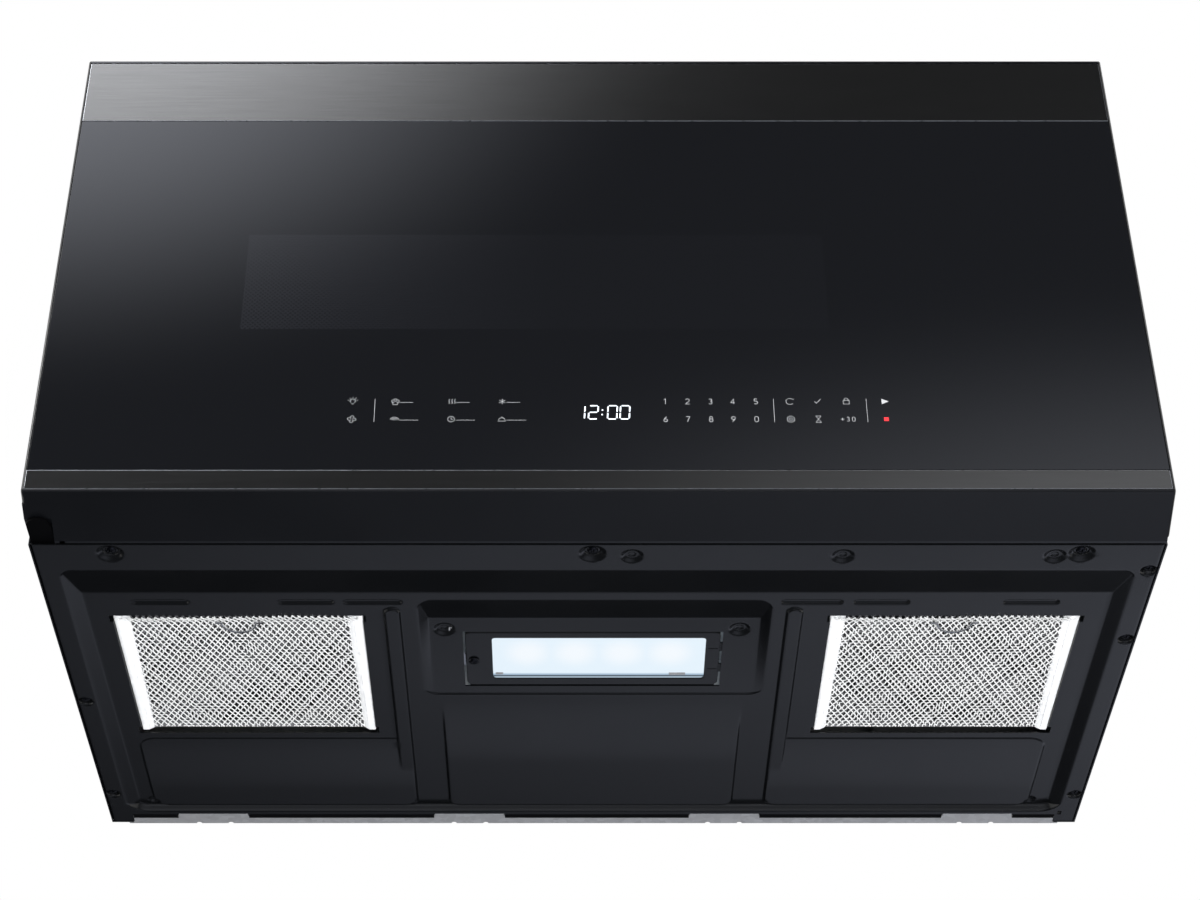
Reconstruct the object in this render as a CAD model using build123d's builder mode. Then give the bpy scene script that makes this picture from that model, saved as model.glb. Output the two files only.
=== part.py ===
"""Over the range microwave with a full-width door and a cooktop hood underneath.

Millimetres. X runs to the right as the cook sees it, Z runs up from the rim of the base
plate, and the wall plane is Y = 0 with the room at negative Y. Distances out from the wall
are written as positive numbers and called "out".
"""

from build123d import *
from math import atan2, cos, sin, tan
import os

os.makedirs("parts", exist_ok=True)

# ---- Driving sizes -----------------------------------------------------------------------
width = 759.0  # over the side panels
height = 433.0  # rim of the base plate to the top panel
depth = 429.0  # wall plane to the front of the door
sheet = 1.0  # pressed steel sheet
seat = 0.3  # gap where a piece rests against, or runs past, another
pin_fit = 0.05  # radial clearance of a pin or shaft in its bore

door_thickness = 37.5
door_gap = 4.0  # between the closed door and the face plate
door_lift = 14.4  # front lower edge of the door above the rim
door_head_room = 21.6  # for the upper hinge arm and the top vent
body_out = depth - door_thickness - door_gap  # front of the face plate
door_rear_out = depth - door_thickness
door_top = height - door_head_room
door_height = door_top - door_lift
half_width = width / 2
inner_half = half_width - sheet  # inside of the side panels


def block(x, out, z, mode=Mode.ADD):
    """A straight-sided block between two X, two distances from the wall and two heights."""
    with Locations(((x[0] + x[1]) / 2, -(out[0] + out[1]) / 2, (z[0] + z[1]) / 2)):
        Box(abs(x[1] - x[0]), abs(out[1] - out[0]), abs(z[1] - z[0]), mode=mode)


def both_sides(inner, outer):
    """The two X ranges that mirror each other across the middle of the oven."""
    return ((-outer, -inner), (inner, outer))


# ---- Wall plate: folded steel, screwed to the studs; the oven hangs on its four hooks --------
wall_sheet = 1.2
wall_plate_half = half_width - 13.5
wall_plate_top = height - 103.0
ledge_half = half_width - 18.0
ledge_out = 11.8
ledge_low = 0.0  # underside of the ledge, level with the rim
hook_out = 15.2
hook_top = 9.0
hook_width = 54.0
hook_inset_left = 63.0  # centres of the end hooks from the ledge's ends
hook_inset_right = 60.5
hook_spacing = 200.0  # between the two middle hooks
hook_shift = 2.5
hook_centres = (
    hook_inset_left - ledge_half, hook_shift - hook_spacing / 2, hook_shift + hook_spacing / 2,
    ledge_half - hook_inset_right,
)
notch_spacing = 25.0  # the two alignment notches under each hook
notch_radius = 2.0
stud_spacing = 406.4  # wall studs
lag_low = 60.0
lag_high = wall_plate_top - lag_low / 2
lag_radius = 3.5

with BuildPart() as wall_plate:
    block((-wall_plate_half, wall_plate_half), (0, wall_sheet), (ledge_low, wall_plate_top))
    block((-ledge_half, ledge_half), (0, ledge_out), (ledge_low, ledge_low + wall_sheet))
    for x in hook_centres:
        span = (x - hook_width / 2, x + hook_width / 2)
        block(span, (ledge_out, hook_out), (ledge_low, ledge_low + wall_sheet))
        block(span, (hook_out - wall_sheet, hook_out), (ledge_low, hook_top))
    with Locations(*[(x + side * notch_spacing / 2, 0, ledge_low)
                     for x in hook_centres for side in (-1, 1)]):
        Cylinder(notch_radius, 4 * wall_sheet, mode=Mode.SUBTRACT)
    with BuildSketch(Plane.XZ) as lag_holes:
        with Locations((0, (lag_low + lag_high) / 2)):
            with GridLocations(stud_spacing, lag_high - lag_low, 2, 2):
                Circle(lag_radius)
    extrude(amount=wall_sheet, mode=Mode.SUBTRACT)
wall_plate.part.label = "wall_plate"
export_step(wall_plate.part, "parts/wall_plate.step")

# ---- Outer wrap: one folded sheet, top and both sides ---------------------------------------
case_radius = 3.0
wrap_out = wall_sheet + 0.6  # rear edge of the side panels
rear_return = 16.0  # in-turned rear edge that covers the wall plate's end
foot_return = 12.0  # in-turned lower edge that the base plate is screwed to
dimple_depth = 2.2  # pressed into the base plate's rim round each screw
foot_level = dimple_depth + sheet  # the in-turned edges sit on the dimples
screw_radius = 2.1
screw_hole_radius = screw_radius + pin_fit
front_screw_out = body_out - 10.5
front_screw_inset = 52.0  # from the left side panel
front_screw_inset_right = 54.5
front_screw_middle = -3.5
front_screw_left = front_screw_inset - inner_half
front_screw_right = inner_half - front_screw_inset_right
front_screws = [(x, front_screw_out) for x in (front_screw_left, front_screw_middle, front_screw_right)]
side_screw_x = inner_half - foot_return / 2
side_screw_rear = 46.0
side_screw_spacing = 86.5  # between the two screws at the front of the right side
left_screw_out = 185.0
left_screws = [(-side_screw_x, out) for out in (left_screw_out, side_screw_rear + sheet)]
right_screw_set_back = 31.0
right_screw_out = body_out - right_screw_set_back
right_screws = [
    (side_screw_x, out) for out in (right_screw_out, right_screw_out - side_screw_spacing, side_screw_rear)
]
duct_half = 127.0  # 254 by 83 mm outlet for a vertical duct
duct_low_out = 34.0
duct_high_out = duct_low_out + 83.0
top_bolt_spacing = 530.0
top_bolt_set_back = 97.5
top_bolt_out = body_out - top_bolt_set_back
top_bolt_radius = 4.0
grommet_inset = 78.5
grommet_x = inner_half - grommet_inset
grommet_out = 60.0
grommet_hole_radius = 12.0
under_top = height - sheet  # underside of the top panel

with BuildPart() as outer_wrap:
    with BuildSketch(Plane.XZ.offset(wrap_out)) as wrap_profile:
        with Locations((0, height / 2)):
            Rectangle(width, height)
        fillet(wrap_profile.vertices().group_by(Axis.Y)[-1], case_radius)
        with Locations((0, 0)):
            RectangleRounded(width - 2 * sheet, 2 * under_top, case_radius - sheet, mode=Mode.SUBTRACT)
    extrude(amount=body_out - wrap_out)
    for x in both_sides(inner_half - foot_return, inner_half):
        block(x, (wrap_out + rear_return, body_out - rear_return), (foot_level, foot_level + sheet))
    with Locations(*[(x, -out, foot_level) for x, out in left_screws + right_screws]):
        Cylinder(screw_hole_radius, 3 * sheet, mode=Mode.SUBTRACT)
    for x in both_sides(inner_half - rear_return, inner_half):
        block(x, (wrap_out, wrap_out + sheet), (0, under_top))
    block((-duct_half, duct_half), (duct_low_out, duct_high_out), (under_top, height), Mode.SUBTRACT)
    with Locations((0, -top_bolt_out, height - sheet / 2)):
        with GridLocations(top_bolt_spacing, 1, 2, 1):
            Cylinder(top_bolt_radius, 2 * sheet, mode=Mode.SUBTRACT)
    with Locations((grommet_x, -grommet_out, height - sheet / 2)):
        Cylinder(grommet_hole_radius, 2 * sheet, mode=Mode.SUBTRACT)
outer_wrap.part.label = "outer_wrap"
export_step(outer_wrap.part, "parts/outer_wrap.step")

# ---- Cord grommet: moulded ring in the top panel, where a cord would come out -----------------
grommet_bore_radius = 8.0
grommet_lip = 3.0
grommet_lip_height = 2.5

with BuildPart() as cord_grommet:
    with BuildSketch(Plane(origin=(grommet_x, -grommet_out, 0), x_dir=(1, 0, 0), z_dir=(0, -1, 0))):
        with BuildLine():
            Polyline(
                (grommet_bore_radius, under_top - grommet_lip_height),
                (grommet_hole_radius + grommet_lip, under_top - grommet_lip_height),
                (grommet_hole_radius + grommet_lip, under_top),
                (grommet_hole_radius - pin_fit, under_top),
                (grommet_hole_radius - pin_fit, height),
                (grommet_bore_radius, height),
                close=True,
            )
        make_face()
    revolve(axis=Axis((grommet_x, -grommet_out, 0), (0, 0, 1)))
cord_grommet.part.label = "cord_grommet"
export_step(cord_grommet.part, "parts/cord_grommet.step")

# ---- Back panel: flat sheet inside the rear returns -------------------------------------------
back_out = wrap_out + sheet
back_low = ledge_low + wall_sheet + seat  # rests on the wall plate's ledge

with BuildPart() as back_panel:
    with BuildSketch(Plane.XZ.offset(back_out)) as back_outline:
        with Locations((0, (back_low + under_top) / 2)):
            Rectangle(2 * inner_half, under_top - back_low)
        fillet(back_outline.vertices().group_by(Axis.Y)[-1], case_radius)
    extrude(amount=sheet)
back_panel.part.label = "back_panel"
export_step(back_panel.part, "parts/back_panel.step")

# ---- Oven cavity and the face plate that it is welded to --------------------------------------
duct_width = 68.5  # exhaust duct between the left side panel and the cavity
bay_width = 158.5  # component bay between the cavity and the right side panel
blower_room = 88.0  # blower and exhaust duct above the cavity
cavity_floor = 95.0
cavity_back_out = 30.0
cavity_left = duct_width - inner_half
cavity_right = inner_half - bay_width
cavity_x = (cavity_left + cavity_right) / 2
cavity_ceiling = height - blower_room
face_out = body_out - sheet  # rear of the face plate
tray_back_gap = 18.0  # between the turning tray and the cavity's back
tray_front_gap = 18.5
tray_radius = (face_out - tray_front_gap - cavity_back_out - tray_back_gap) / 2
tray_out = cavity_back_out + tray_back_gap + tray_radius  # turntable centre
coupler_shaft_radius = 4.0
coupler_hole_radius = coupler_shaft_radius + 1.5
feed_size = 80.0  # square microwave feed in the right wall, beside the tray's centre
feed_drop = 60.0  # below the cavity's ceiling
feed_high = cavity_ceiling - feed_drop
feed_low = feed_high - feed_size
feed_near_out = tray_out - feed_size / 2
feed_far_out = tray_out + feed_size / 2
lamp_slot_length = 40.0
lamp_slot_width = 5.0
cavity_lamp_set_back = 56.5
cavity_lamp_out = face_out - cavity_lamp_set_back
cavity_lamp_x = 60.0

with BuildPart() as oven_cavity:
    block(
        (cavity_left - sheet, cavity_right + sheet),
        (cavity_back_out, face_out),
        (cavity_floor - sheet, cavity_ceiling + sheet),
    )
    block(
        (cavity_left, cavity_right), (cavity_back_out + sheet, face_out), (cavity_floor, cavity_ceiling),
        Mode.SUBTRACT,
    )
    block(
        (cavity_right, cavity_right + sheet), (feed_near_out, feed_far_out), (feed_low, feed_high),
        Mode.SUBTRACT,
    )
    with Locations((cavity_x, -tray_out, cavity_floor - sheet / 2)):
        Cylinder(coupler_hole_radius, 2 * sheet, mode=Mode.SUBTRACT)
    with BuildSketch(Plane.XY.offset(cavity_ceiling)):
        with Locations((cavity_lamp_x, -cavity_lamp_out)):
            with GridLocations(lamp_slot_length, 2 * lamp_slot_width, 1, 3):
                SlotOverall(lamp_slot_length, lamp_slot_width)
    extrude(amount=sheet, mode=Mode.SUBTRACT)
oven_cavity.part.label = "oven_cavity"
export_step(oven_cavity.part, "parts/oven_cavity.step")

hinge_inset = 9.0  # hinge axis from the door's left side
hinge_set_out = 13.0  # hinge axis ahead of the door's rear face
hinge_x = -half_width + hinge_inset
hinge_out = door_rear_out + hinge_set_out
hinge_arm_half = 8.5
hinge_arm_thickness = 2.5
hinge_low = 3.0  # underside of the lower hinge arm
hinge_high = door_top + 1.0  # underside of the upper hinge arm
hinge_slot_clearance = 0.4
latch_inset = 27.5
latch_head_room = 101.4  # from the upper hook to the top of the door
latch_x = half_width - latch_inset
latch_thickness = 4.0
latch_low = 120.0  # underside of each hook's shank
latch_high = door_top - latch_head_room
latch_shank = 12.0
latch_travel = 4.0
latch_slot_width = latch_thickness + 6.0
latch_slot_height = latch_shank + 2 * latch_travel + 8.0
vent_low = hinge_high + hinge_arm_thickness + 2 * hinge_slot_clearance  # underside of the top vent
face_foot = 14.0  # in-turned lower edge of the face plate

with BuildPart() as face_plate:
    block((-inner_half + seat, inner_half - seat), (face_out, body_out), (foot_level, vent_low))
    block(
        (-inner_half + seat, inner_half - seat), (body_out - face_foot, body_out),
        (foot_level, foot_level + sheet),
    )
    with Locations(*[(x, -out, foot_level) for x, out in front_screws]):
        Cylinder(screw_hole_radius, 3 * sheet, mode=Mode.SUBTRACT)
    block(
        (cavity_left, cavity_right), (face_out, body_out), (cavity_floor, cavity_ceiling), Mode.SUBTRACT,
    )
    for z in (latch_low, latch_high):
        middle = z + latch_shank / 2
        block(
            (latch_x - latch_slot_width / 2, latch_x + latch_slot_width / 2), (face_out, body_out),
            (middle - latch_slot_height / 2, middle + latch_slot_height / 2), Mode.SUBTRACT,
        )
    for z in (hinge_low, hinge_high):
        slot_z = (z - hinge_slot_clearance, z + hinge_arm_thickness + 2 * hinge_slot_clearance)
        block(
            (-inner_half, hinge_x + hinge_arm_half + hinge_slot_clearance), (face_out, body_out), slot_z,
            Mode.SUBTRACT,
        )
        block(
            (-inner_half, hinge_x + 2 * hinge_arm_half + hinge_slot_clearance),
            (body_out - face_foot, face_out), slot_z, Mode.SUBTRACT,
        )
face_plate.part.label = "face_plate"
export_step(face_plate.part, "parts/face_plate.step")

# ---- Base plate: deep-drawn pan with two filter ports and a lamp pocket that slopes ------------
base_half = inner_half - seat / 2
base_corner_out = 4.2  # the rear corners reach back beside the wall plate's ledge
base_rear_out = 13.0
rim_width = 14.5  # flat rim beside the recess
recess_half = half_width - rim_width
recess_set_back = 29.5
recess_front_out = body_out - recess_set_back
recess_rear_out = 19.0
recess_depth = 6.0
recess_radius = 15.0
recess_side_run = 10.9  # plan width of the sloped side walls
recess_front_run = 38.0  # the front wall is a long gentle ramp
recess_rear_run = 1.0

filter_inset = 114.0  # each filter's centre from the recess's side
filter_set_back = 147.0  # and from its front
filter_x = recess_half - filter_inset
filter_width = 174.0
filter_length = 156.0
filter_thickness = 9.5
filter_out = recess_front_out - filter_set_back
filter_low = recess_depth + 1.5
port_gap = 2.7  # between the filter and the pressed edge round it
guide_length = 16.0  # upstanding tabs that the filter slides between
guide_top = 16.0

pocket_x = -1.4
pocket_filter_gap = 39.7  # between the pocket and the filters
pocket_set_back = 45.6  # from the recess's front
pocket_half = filter_x - filter_width / 2 - pocket_filter_gap
pocket_length = 127.3
pocket_front_out = recess_front_out - pocket_set_back
pocket_rear_out = pocket_front_out - pocket_length
pocket_radius = 12.0
pocket_side_run = 8.5
pocket_front_run = 32.0
pocket_rear_run = 2.0
pocket_front_depth = 5.0  # above the ceiling of the recess
pocket_rear_depth = 0.8
pocket_fall = pocket_front_depth - pocket_rear_depth
lamp_front_out = pocket_front_out - pocket_front_run
lamp_rear_out = pocket_rear_out + pocket_rear_run
lamp_tilt = atan2(pocket_fall, lamp_front_out - lamp_rear_out)
lamp_up = (0, sin(lamp_tilt), cos(lamp_tilt))
cover_x = -2.4
cover_side_gap = 33.5
cover_set_back = 83.6  # its centre from the pocket's front
cover_width = 2 * (pocket_half - cover_side_gap)
cover_length = 69.2
cover_out = pocket_front_out - cover_set_back
cover_gap = 0.7
cover_hinge_gap = 1.2
cover_height = recess_depth + pocket_front_depth - (lamp_front_out - cover_out) * tan(lamp_tilt)
lamp_plane = Plane(origin=(cover_x, -cover_out, cover_height), x_dir=(1, 0, 0), z_dir=lamp_up)
lamp_opening_half = cover_length / 2 + cover_gap

front_dimple_radius = 8.5
side_dimple_radius = 5.0
dimple_draw = 1.2  # how much narrower a dimple is at its floor
blank_out = body_out - 13.5
blank_gap = 17.5  # between the right-hand blank and the screw beside it
blank_left = 23.0
blank_spacing = 141.5
blank_dimples = [
    (x, blank_out) for x in (blank_left, blank_left + blank_spacing, front_screw_right - blank_gap)
]
screw_clearance_radius = screw_radius + 0.3


def rounded_outline(centre, up, size_x, size_y, radius):
    """A rounded rectangle, centred on a point of a level or a tilted plane."""
    with BuildSketch(Plane(origin=centre, x_dir=(1, 0, 0), z_dir=up)) as outline:
        RectangleRounded(size_x, size_y, radius)
    return outline.sketch


def recess_outlines(grow, lift):
    """Rim and ceiling outlines of the main recess, grown and lifted by the sheet."""
    front_out = recess_front_out - recess_front_run
    rear_out = recess_rear_out + recess_rear_run
    rim = rounded_outline(
        (0, -(recess_front_out + recess_rear_out) / 2, lift), (0, 0, 1),
        2 * (recess_half + grow), recess_front_out - recess_rear_out + 2 * grow, recess_radius + grow,
    )
    ceiling = rounded_outline(
        (0, -(front_out + rear_out) / 2, recess_depth + lift), (0, 0, 1),
        2 * (recess_half - recess_side_run + grow), front_out - rear_out + 2 * grow, recess_radius + grow,
    )
    return [rim, ceiling]


def pocket_outlines(grow, lift):
    """Lower and upper outlines of the lamp pocket; its ceiling falls towards the wall."""
    rim = rounded_outline(
        (pocket_x, -(pocket_front_out + pocket_rear_out) / 2, recess_depth + lift), (0, 0, 1),
        2 * (pocket_half + grow), pocket_front_out - pocket_rear_out + 2 * grow, pocket_radius + grow,
    )
    ceiling = rounded_outline(
        (pocket_x, -(lamp_front_out + lamp_rear_out) / 2, recess_depth + lift + pocket_front_depth
         - pocket_fall / 2), lamp_up,
        2 * (pocket_half - pocket_side_run + grow),
        (lamp_front_out - lamp_rear_out) / cos(lamp_tilt) + 2 * grow, pocket_radius + grow,
    )
    return [rim, ceiling]


def dimples(places, radius, grow, lift, mode):
    """Shallow conical dimples pressed up into the rim."""
    with Locations(*[(x, -out, lift) for x, out in places]):
        Cone(
            radius + grow, radius + grow - dimple_draw, dimple_depth,
            align=(Align.CENTER, Align.CENTER, Align.MIN), mode=mode,
        )


with BuildPart() as base_plate:
    block((-base_half, base_half), (base_corner_out, body_out), (0, sheet))
    loft(sections=recess_outlines(sheet, sheet), ruled=True)
    loft(sections=pocket_outlines(sheet, sheet), ruled=True)
    dimples(front_screws + blank_dimples, front_dimple_radius, sheet, sheet, Mode.ADD)
    dimples(left_screws + right_screws, side_dimple_radius, sheet / 2, sheet, Mode.ADD)
    loft(sections=recess_outlines(0, 0), ruled=True, mode=Mode.SUBTRACT)
    loft(sections=pocket_outlines(0, 0), ruled=True, mode=Mode.SUBTRACT)
    dimples(front_screws + blank_dimples, front_dimple_radius, 0, 0, Mode.SUBTRACT)
    dimples(left_screws + right_screws, side_dimple_radius, 0, 0, Mode.SUBTRACT)
    with Locations(*[(x, -out, dimple_depth) for x, out in front_screws + left_screws + right_screws]):
        Cylinder(screw_clearance_radius, 4 * sheet, mode=Mode.SUBTRACT)
    for x in (-filter_x, filter_x):
        half = filter_width / 2
        for side in (-1, 1):
            for out in (filter_out - filter_length / 4, filter_out + filter_length / 4):
                block(
                    (x + side * (half + seat), x + side * (half + port_gap + sheet)),
                    (out - guide_length / 2, out + guide_length / 2), (recess_depth, guide_top),
                )
    for x in (-filter_x, filter_x):
        with BuildSketch(Plane.XY) as port_outline:
            with Locations((x, -filter_out)):
                Rectangle(filter_width + 2 * port_gap, filter_length + 2 * port_gap)
                with GridLocations(filter_width + port_gap + seat, filter_length / 2, 2, 2):
                    Rectangle(port_gap - seat, guide_length, mode=Mode.SUBTRACT)
        extrude(amount=recess_depth + 2 * sheet, mode=Mode.SUBTRACT)
    with BuildSketch(lamp_plane.offset(-2 * sheet)):
        with Locations(((cover_hinge_gap - cover_gap) / 2, 0)):
            Rectangle(cover_width + cover_gap + cover_hinge_gap, 2 * lamp_opening_half)
    extrude(amount=5 * sheet, mode=Mode.SUBTRACT)
    block((-ledge_half - seat, ledge_half + seat), (0, base_rear_out), (0, sheet), Mode.SUBTRACT)
    for x in hook_centres:
        reach = hook_width / 2 + seat
        block((x - reach, x + reach), (base_rear_out, hook_out + seat), (0, sheet), Mode.SUBTRACT)
base_plate.part.label = "base_plate"
export_step(base_plate.part, "parts/base_plate.step")

# ---- Base screws: pan heads in the rim's dimples ----------------------------------------------
screw_head_radius = 3.6
screw_head_height = 2.0
screw_length = 9.0

with BuildPart() as base_screws:
    for x, out in front_screws + left_screws + right_screws:
        with Locations((x, -out, dimple_depth - screw_head_height)):
            Cylinder(
                screw_head_radius, screw_head_height, align=(Align.CENTER, Align.CENTER, Align.MIN)
            )
        with Locations((x, -out, dimple_depth)):
            Cylinder(screw_radius, screw_length, align=(Align.CENTER, Align.CENTER, Align.MIN))
base_screws.part.label = "base_screws"
export_step(base_screws.part, "parts/base_screws.step")

# ---- Grease filters: folded aluminium frame, knitted mesh pad and a wire pull ring ------------
filter_rail = 9.0  # side rails of the frame
filter_end = 3.0  # the frame's front and rear edges are narrower
filter_skin = 1.0
ring_wire = 1.0  # radius of the pull ring's wire
ring_radius = 12.0
ring_drop = 0.4  # the folded ring lies this far below the pad
ring_out = filter_out + filter_length / 2 - filter_end - 4.0
ring_level = filter_low - ring_wire - ring_drop
ring_ear = 2.2

filter_sides = {"left": -filter_x, "right": filter_x}
for side, x in filter_sides.items():
    pad_half_x = filter_width / 2 - filter_skin - seat
    pad_half_out = filter_length / 2 - filter_skin - seat
    lip_top = filter_low + filter_thickness - filter_skin
    with BuildPart() as filter_frame:
        block(
            (x - filter_width / 2, x + filter_width / 2),
            (filter_out - filter_length / 2, filter_out + filter_length / 2),
            (filter_low, filter_low + filter_thickness),
        )
        block(
            (x - filter_width / 2 + filter_skin, x + filter_width / 2 - filter_skin),
            (filter_out - filter_length / 2 + filter_skin, filter_out + filter_length / 2 - filter_skin),
            (filter_low + filter_skin, lip_top), Mode.SUBTRACT,
        )
        block(
            (x - filter_width / 2 + filter_rail, x + filter_width / 2 - filter_rail),
            (filter_out - filter_length / 2 + filter_end, filter_out + filter_length / 2 - filter_end),
            (filter_low - sheet, filter_low + filter_thickness + sheet), Mode.SUBTRACT,
        )
    filter_frame.part.label = f"filter_frame_{side}"
    export_step(filter_frame.part, f"parts/filter_frame_{side}.step")

    with BuildPart() as filter_mesh:
        block(
            (x - pad_half_x, x + pad_half_x), (filter_out - pad_half_out, filter_out + pad_half_out),
            (filter_low + filter_skin + seat, lip_top - seat),
        )
        for ear in (-1, 1):
            ear_x = x + ear * (ring_radius + ring_wire + ring_ear)
            block(
                (ear_x - ring_ear / 2, ear_x + ring_ear / 2), (ring_out - ring_ear, ring_out + ring_ear),
                (ring_level - ring_ear, filter_low + 2 * filter_skin),
            )
            with Locations(Plane(origin=(ear_x, -ring_out, ring_level), z_dir=(1, 0, 0))):
                Cylinder(ring_wire + pin_fit, 2 * ring_ear, mode=Mode.SUBTRACT)
    filter_mesh.part.label = f"filter_mesh_{side}"
    export_step(filter_mesh.part, f"parts/filter_mesh_{side}.step")

    with BuildPart() as pull_ring:
        with BuildLine() as ring_path:
            reach = ring_radius + ring_wire + 1.5 * ring_ear
            level_line = Line((x - reach, -ring_out, ring_level), (x - ring_radius, -ring_out, ring_level))
            ThreePointArc(
                level_line @ 1, (x, -ring_out + ring_radius, ring_level),
                (x + ring_radius, -ring_out, ring_level),
            )
            Line((x + ring_radius, -ring_out, ring_level), (x + reach, -ring_out, ring_level))
        with BuildSketch(Plane(origin=level_line @ 0, z_dir=level_line % 0)):
            Circle(ring_wire)
        sweep(path=ring_path.wires()[0], transition=Transition.ROUND)
    pull_ring.part.label = f"pull_ring_{side}"
    export_step(pull_ring.part, f"parts/pull_ring_{side}.step")

# ---- Cooktop lamp: drop-down cover with a glass, reflector box, light board and spring clip ----
cover_sheet = 1.2
cover_lip = 4.0
lens_x = 4.3  # centre of the glass from the centre of the cover
lens_end_rims = 29.6  # both ends of the cover together
lens_width = cover_width - lens_end_rims
lens_length = 55.5
lens_margin = 3.0
lens_thickness = 3.0
hook_tab_width = 10.0
hook_tab_spacing = 26.3
hook_tab_reach = 4.0
cover_screw_x = 5.6  # from the cover's left end
clip_thickness = 0.4
clip_length = 15.0
clip_level = 3.2  # above the cover's face
housing_height = 26.0
housing_end_gap = 7.0
housing_side_gap = 3.0
cover_left = -cover_width / 2
cover_right = cover_width / 2
cover_screw_local = cover_left + cover_screw_x
sheet_over_cover = sheet / cos(lamp_tilt)


def lamp_block(x, y, z, mode=Mode.ADD):
    """A block in the lamp's own tilted frame: x to the right, y to the wall, z up."""
    middle = Location(((x[0] + x[1]) / 2, (y[0] + y[1]) / 2, (z[0] + z[1]) / 2))
    with Locations(lamp_plane.location * middle):
        Box(x[1] - x[0], y[1] - y[0], z[1] - z[0], mode=mode)


with BuildPart() as lamp_cover:
    cover_edge = cover_length / 2
    lens_left = lens_x - lens_width / 2
    lens_right = lens_x + lens_width / 2
    lamp_block((cover_left, cover_right), (-cover_edge, cover_edge), (0, cover_sheet))
    for y in (-cover_edge, cover_edge - sheet):
        lamp_block((cover_left + cover_lip, cover_right - cover_lip), (y, y + sheet), (0, cover_lip))
    for y in (-hook_tab_spacing / 2, hook_tab_spacing / 2):
        tab = (y - hook_tab_width / 2, y + hook_tab_width / 2)
        rise = (sheet_over_cover + seat, sheet_over_cover + seat + sheet)
        lamp_block((cover_right - sheet, cover_right), tab, (0, rise[1]))
        lamp_block((cover_right - sheet, cover_right + hook_tab_reach), tab, rise)
    lamp_block(
        (lens_left, lens_right), (-lens_length / 2, lens_length / 2), (0, cover_sheet), Mode.SUBTRACT
    )
    with Locations(lamp_plane.location * Location((cover_screw_local, 0, 0))):
        Cylinder(screw_hole_radius, 4 * cover_sheet, mode=Mode.SUBTRACT)
lamp_cover.part.label = "lamp_cover"
export_step(lamp_cover.part, "parts/lamp_cover.step")

with BuildPart() as lamp_glass:
    lamp_block(
        (lens_left - lens_margin, lens_right + lens_margin),
        (-lens_length / 2 - lens_margin, lens_length / 2 + lens_margin),
        (cover_sheet, cover_sheet + lens_thickness),
    )
lamp_glass.part.label = "lamp_glass"
export_step(lamp_glass.part, "parts/lamp_glass.step")

with BuildPart() as lamp_screw:
    with Locations(lamp_plane.location * Location((cover_screw_local, 0, 0))):
        Cylinder(screw_head_radius, screw_head_height, align=(Align.CENTER, Align.CENTER, Align.MAX))
        Cylinder(screw_radius, screw_length, align=(Align.CENTER, Align.CENTER, Align.MIN))
lamp_screw.part.label = "lamp_screw"
export_step(lamp_screw.part, "parts/lamp_screw.step")

with BuildPart() as lamp_clip:
    clip_end = cover_screw_local + 2 * screw_head_radius
    clip_web = cover_left - cover_gap
    half_clip = clip_length / 2
    lamp_block((clip_web, clip_web + clip_thickness), (-half_clip, half_clip), (0, clip_level + sheet))
    lamp_block((clip_web, clip_end), (-half_clip, half_clip), (clip_level, clip_level + sheet))
    lamp_block(
        (clip_web - half_clip, clip_web + clip_thickness), (-half_clip, half_clip),
        (sheet_over_cover + seat, sheet_over_cover + seat + clip_thickness),
    )
    with Locations(lamp_plane.location * Location((cover_screw_local, 0, clip_level))):
        Cylinder(screw_radius + 3 * seat, 4 * sheet, mode=Mode.SUBTRACT)
lamp_clip.part.label = "lamp_clip"
export_step(lamp_clip.part, "parts/lamp_clip.step")

housing_left = clip_web - half_clip - housing_side_gap
housing_right = cover_right + housing_end_gap
housing_side = cover_length / 2 + housing_side_gap
housing_foot = sheet_over_cover + seat
housing_top = housing_foot + housing_height

with BuildPart() as lamp_housing:
    lamp_block(
        (housing_left, housing_right), (-housing_side - sheet, housing_side + sheet),
        (housing_foot, housing_top),
    )
    lamp_block(
        (housing_left + sheet, housing_right - sheet), (-housing_side, housing_side),
        (housing_foot - sheet, housing_top - sheet), Mode.SUBTRACT,
    )
lamp_housing.part.label = "lamp_housing"
export_step(lamp_housing.part, "parts/lamp_housing.step")

board_thickness = 1.6
led_count = 4
led_end_room = 16.0  # both ends of the row together
led_spacing = (lens_width - led_end_room) / led_count
led_size = 5.0
led_height = 2.0

with BuildPart() as lamp_board:
    board_face = housing_top - sheet - board_thickness
    lamp_block(
        (lens_left, lens_right), (-lens_length / 3, lens_length / 3), (board_face, housing_top - sheet)
    )
    with Locations(lamp_plane.location * Location((lens_x, 0, board_face))):
        with GridLocations(led_spacing, 1, led_count, 1):
            Box(led_size, led_size, led_height, align=(Align.CENTER, Align.CENTER, Align.MAX))
lamp_board.part.label = "lamp_board"
export_step(lamp_board.part, "parts/lamp_board.step")

# ---- Turntable: motor, three-lobed coupler, roller ring with three wheels, and the glass tray --
coupler_axis = Axis((cavity_x, -tray_out, 0), (0, 0, 1))
turn_motor_corner = 6.0
turn_motor_width = 60.0
turn_motor_length = 50.0
turn_motor_height = 15.0
tray_flare = 32.0  # from the tray's foot to its rim
tray_foot_radius = tray_radius - tray_flare
tray_thickness = 6.0
tray_rim_height = 14.0
tray_wall = 3.0
roller_radius = 7.0
roller_width = 8.0
roller_inset = 16.0  # the wheels run inside the tray's foot
roller_track = tray_foot_radius - roller_inset  # centre of each wheel from the turntable's axis
axle_radius = 1.5
ring_width = 6.0
ring_outer_radius = roller_track - roller_width
ring_inner_radius = ring_outer_radius - ring_width
ring_height = 8.0
roller_count = 3
coupler_radius = 15.0
lobe_radius = 5.0
coupler_height = 9.0
roller_start = 90.0  # the first wheel's direction from the turntable's axis
roller_level = cavity_floor + seat + roller_radius
tray_low = roller_level + roller_radius + seat

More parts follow.
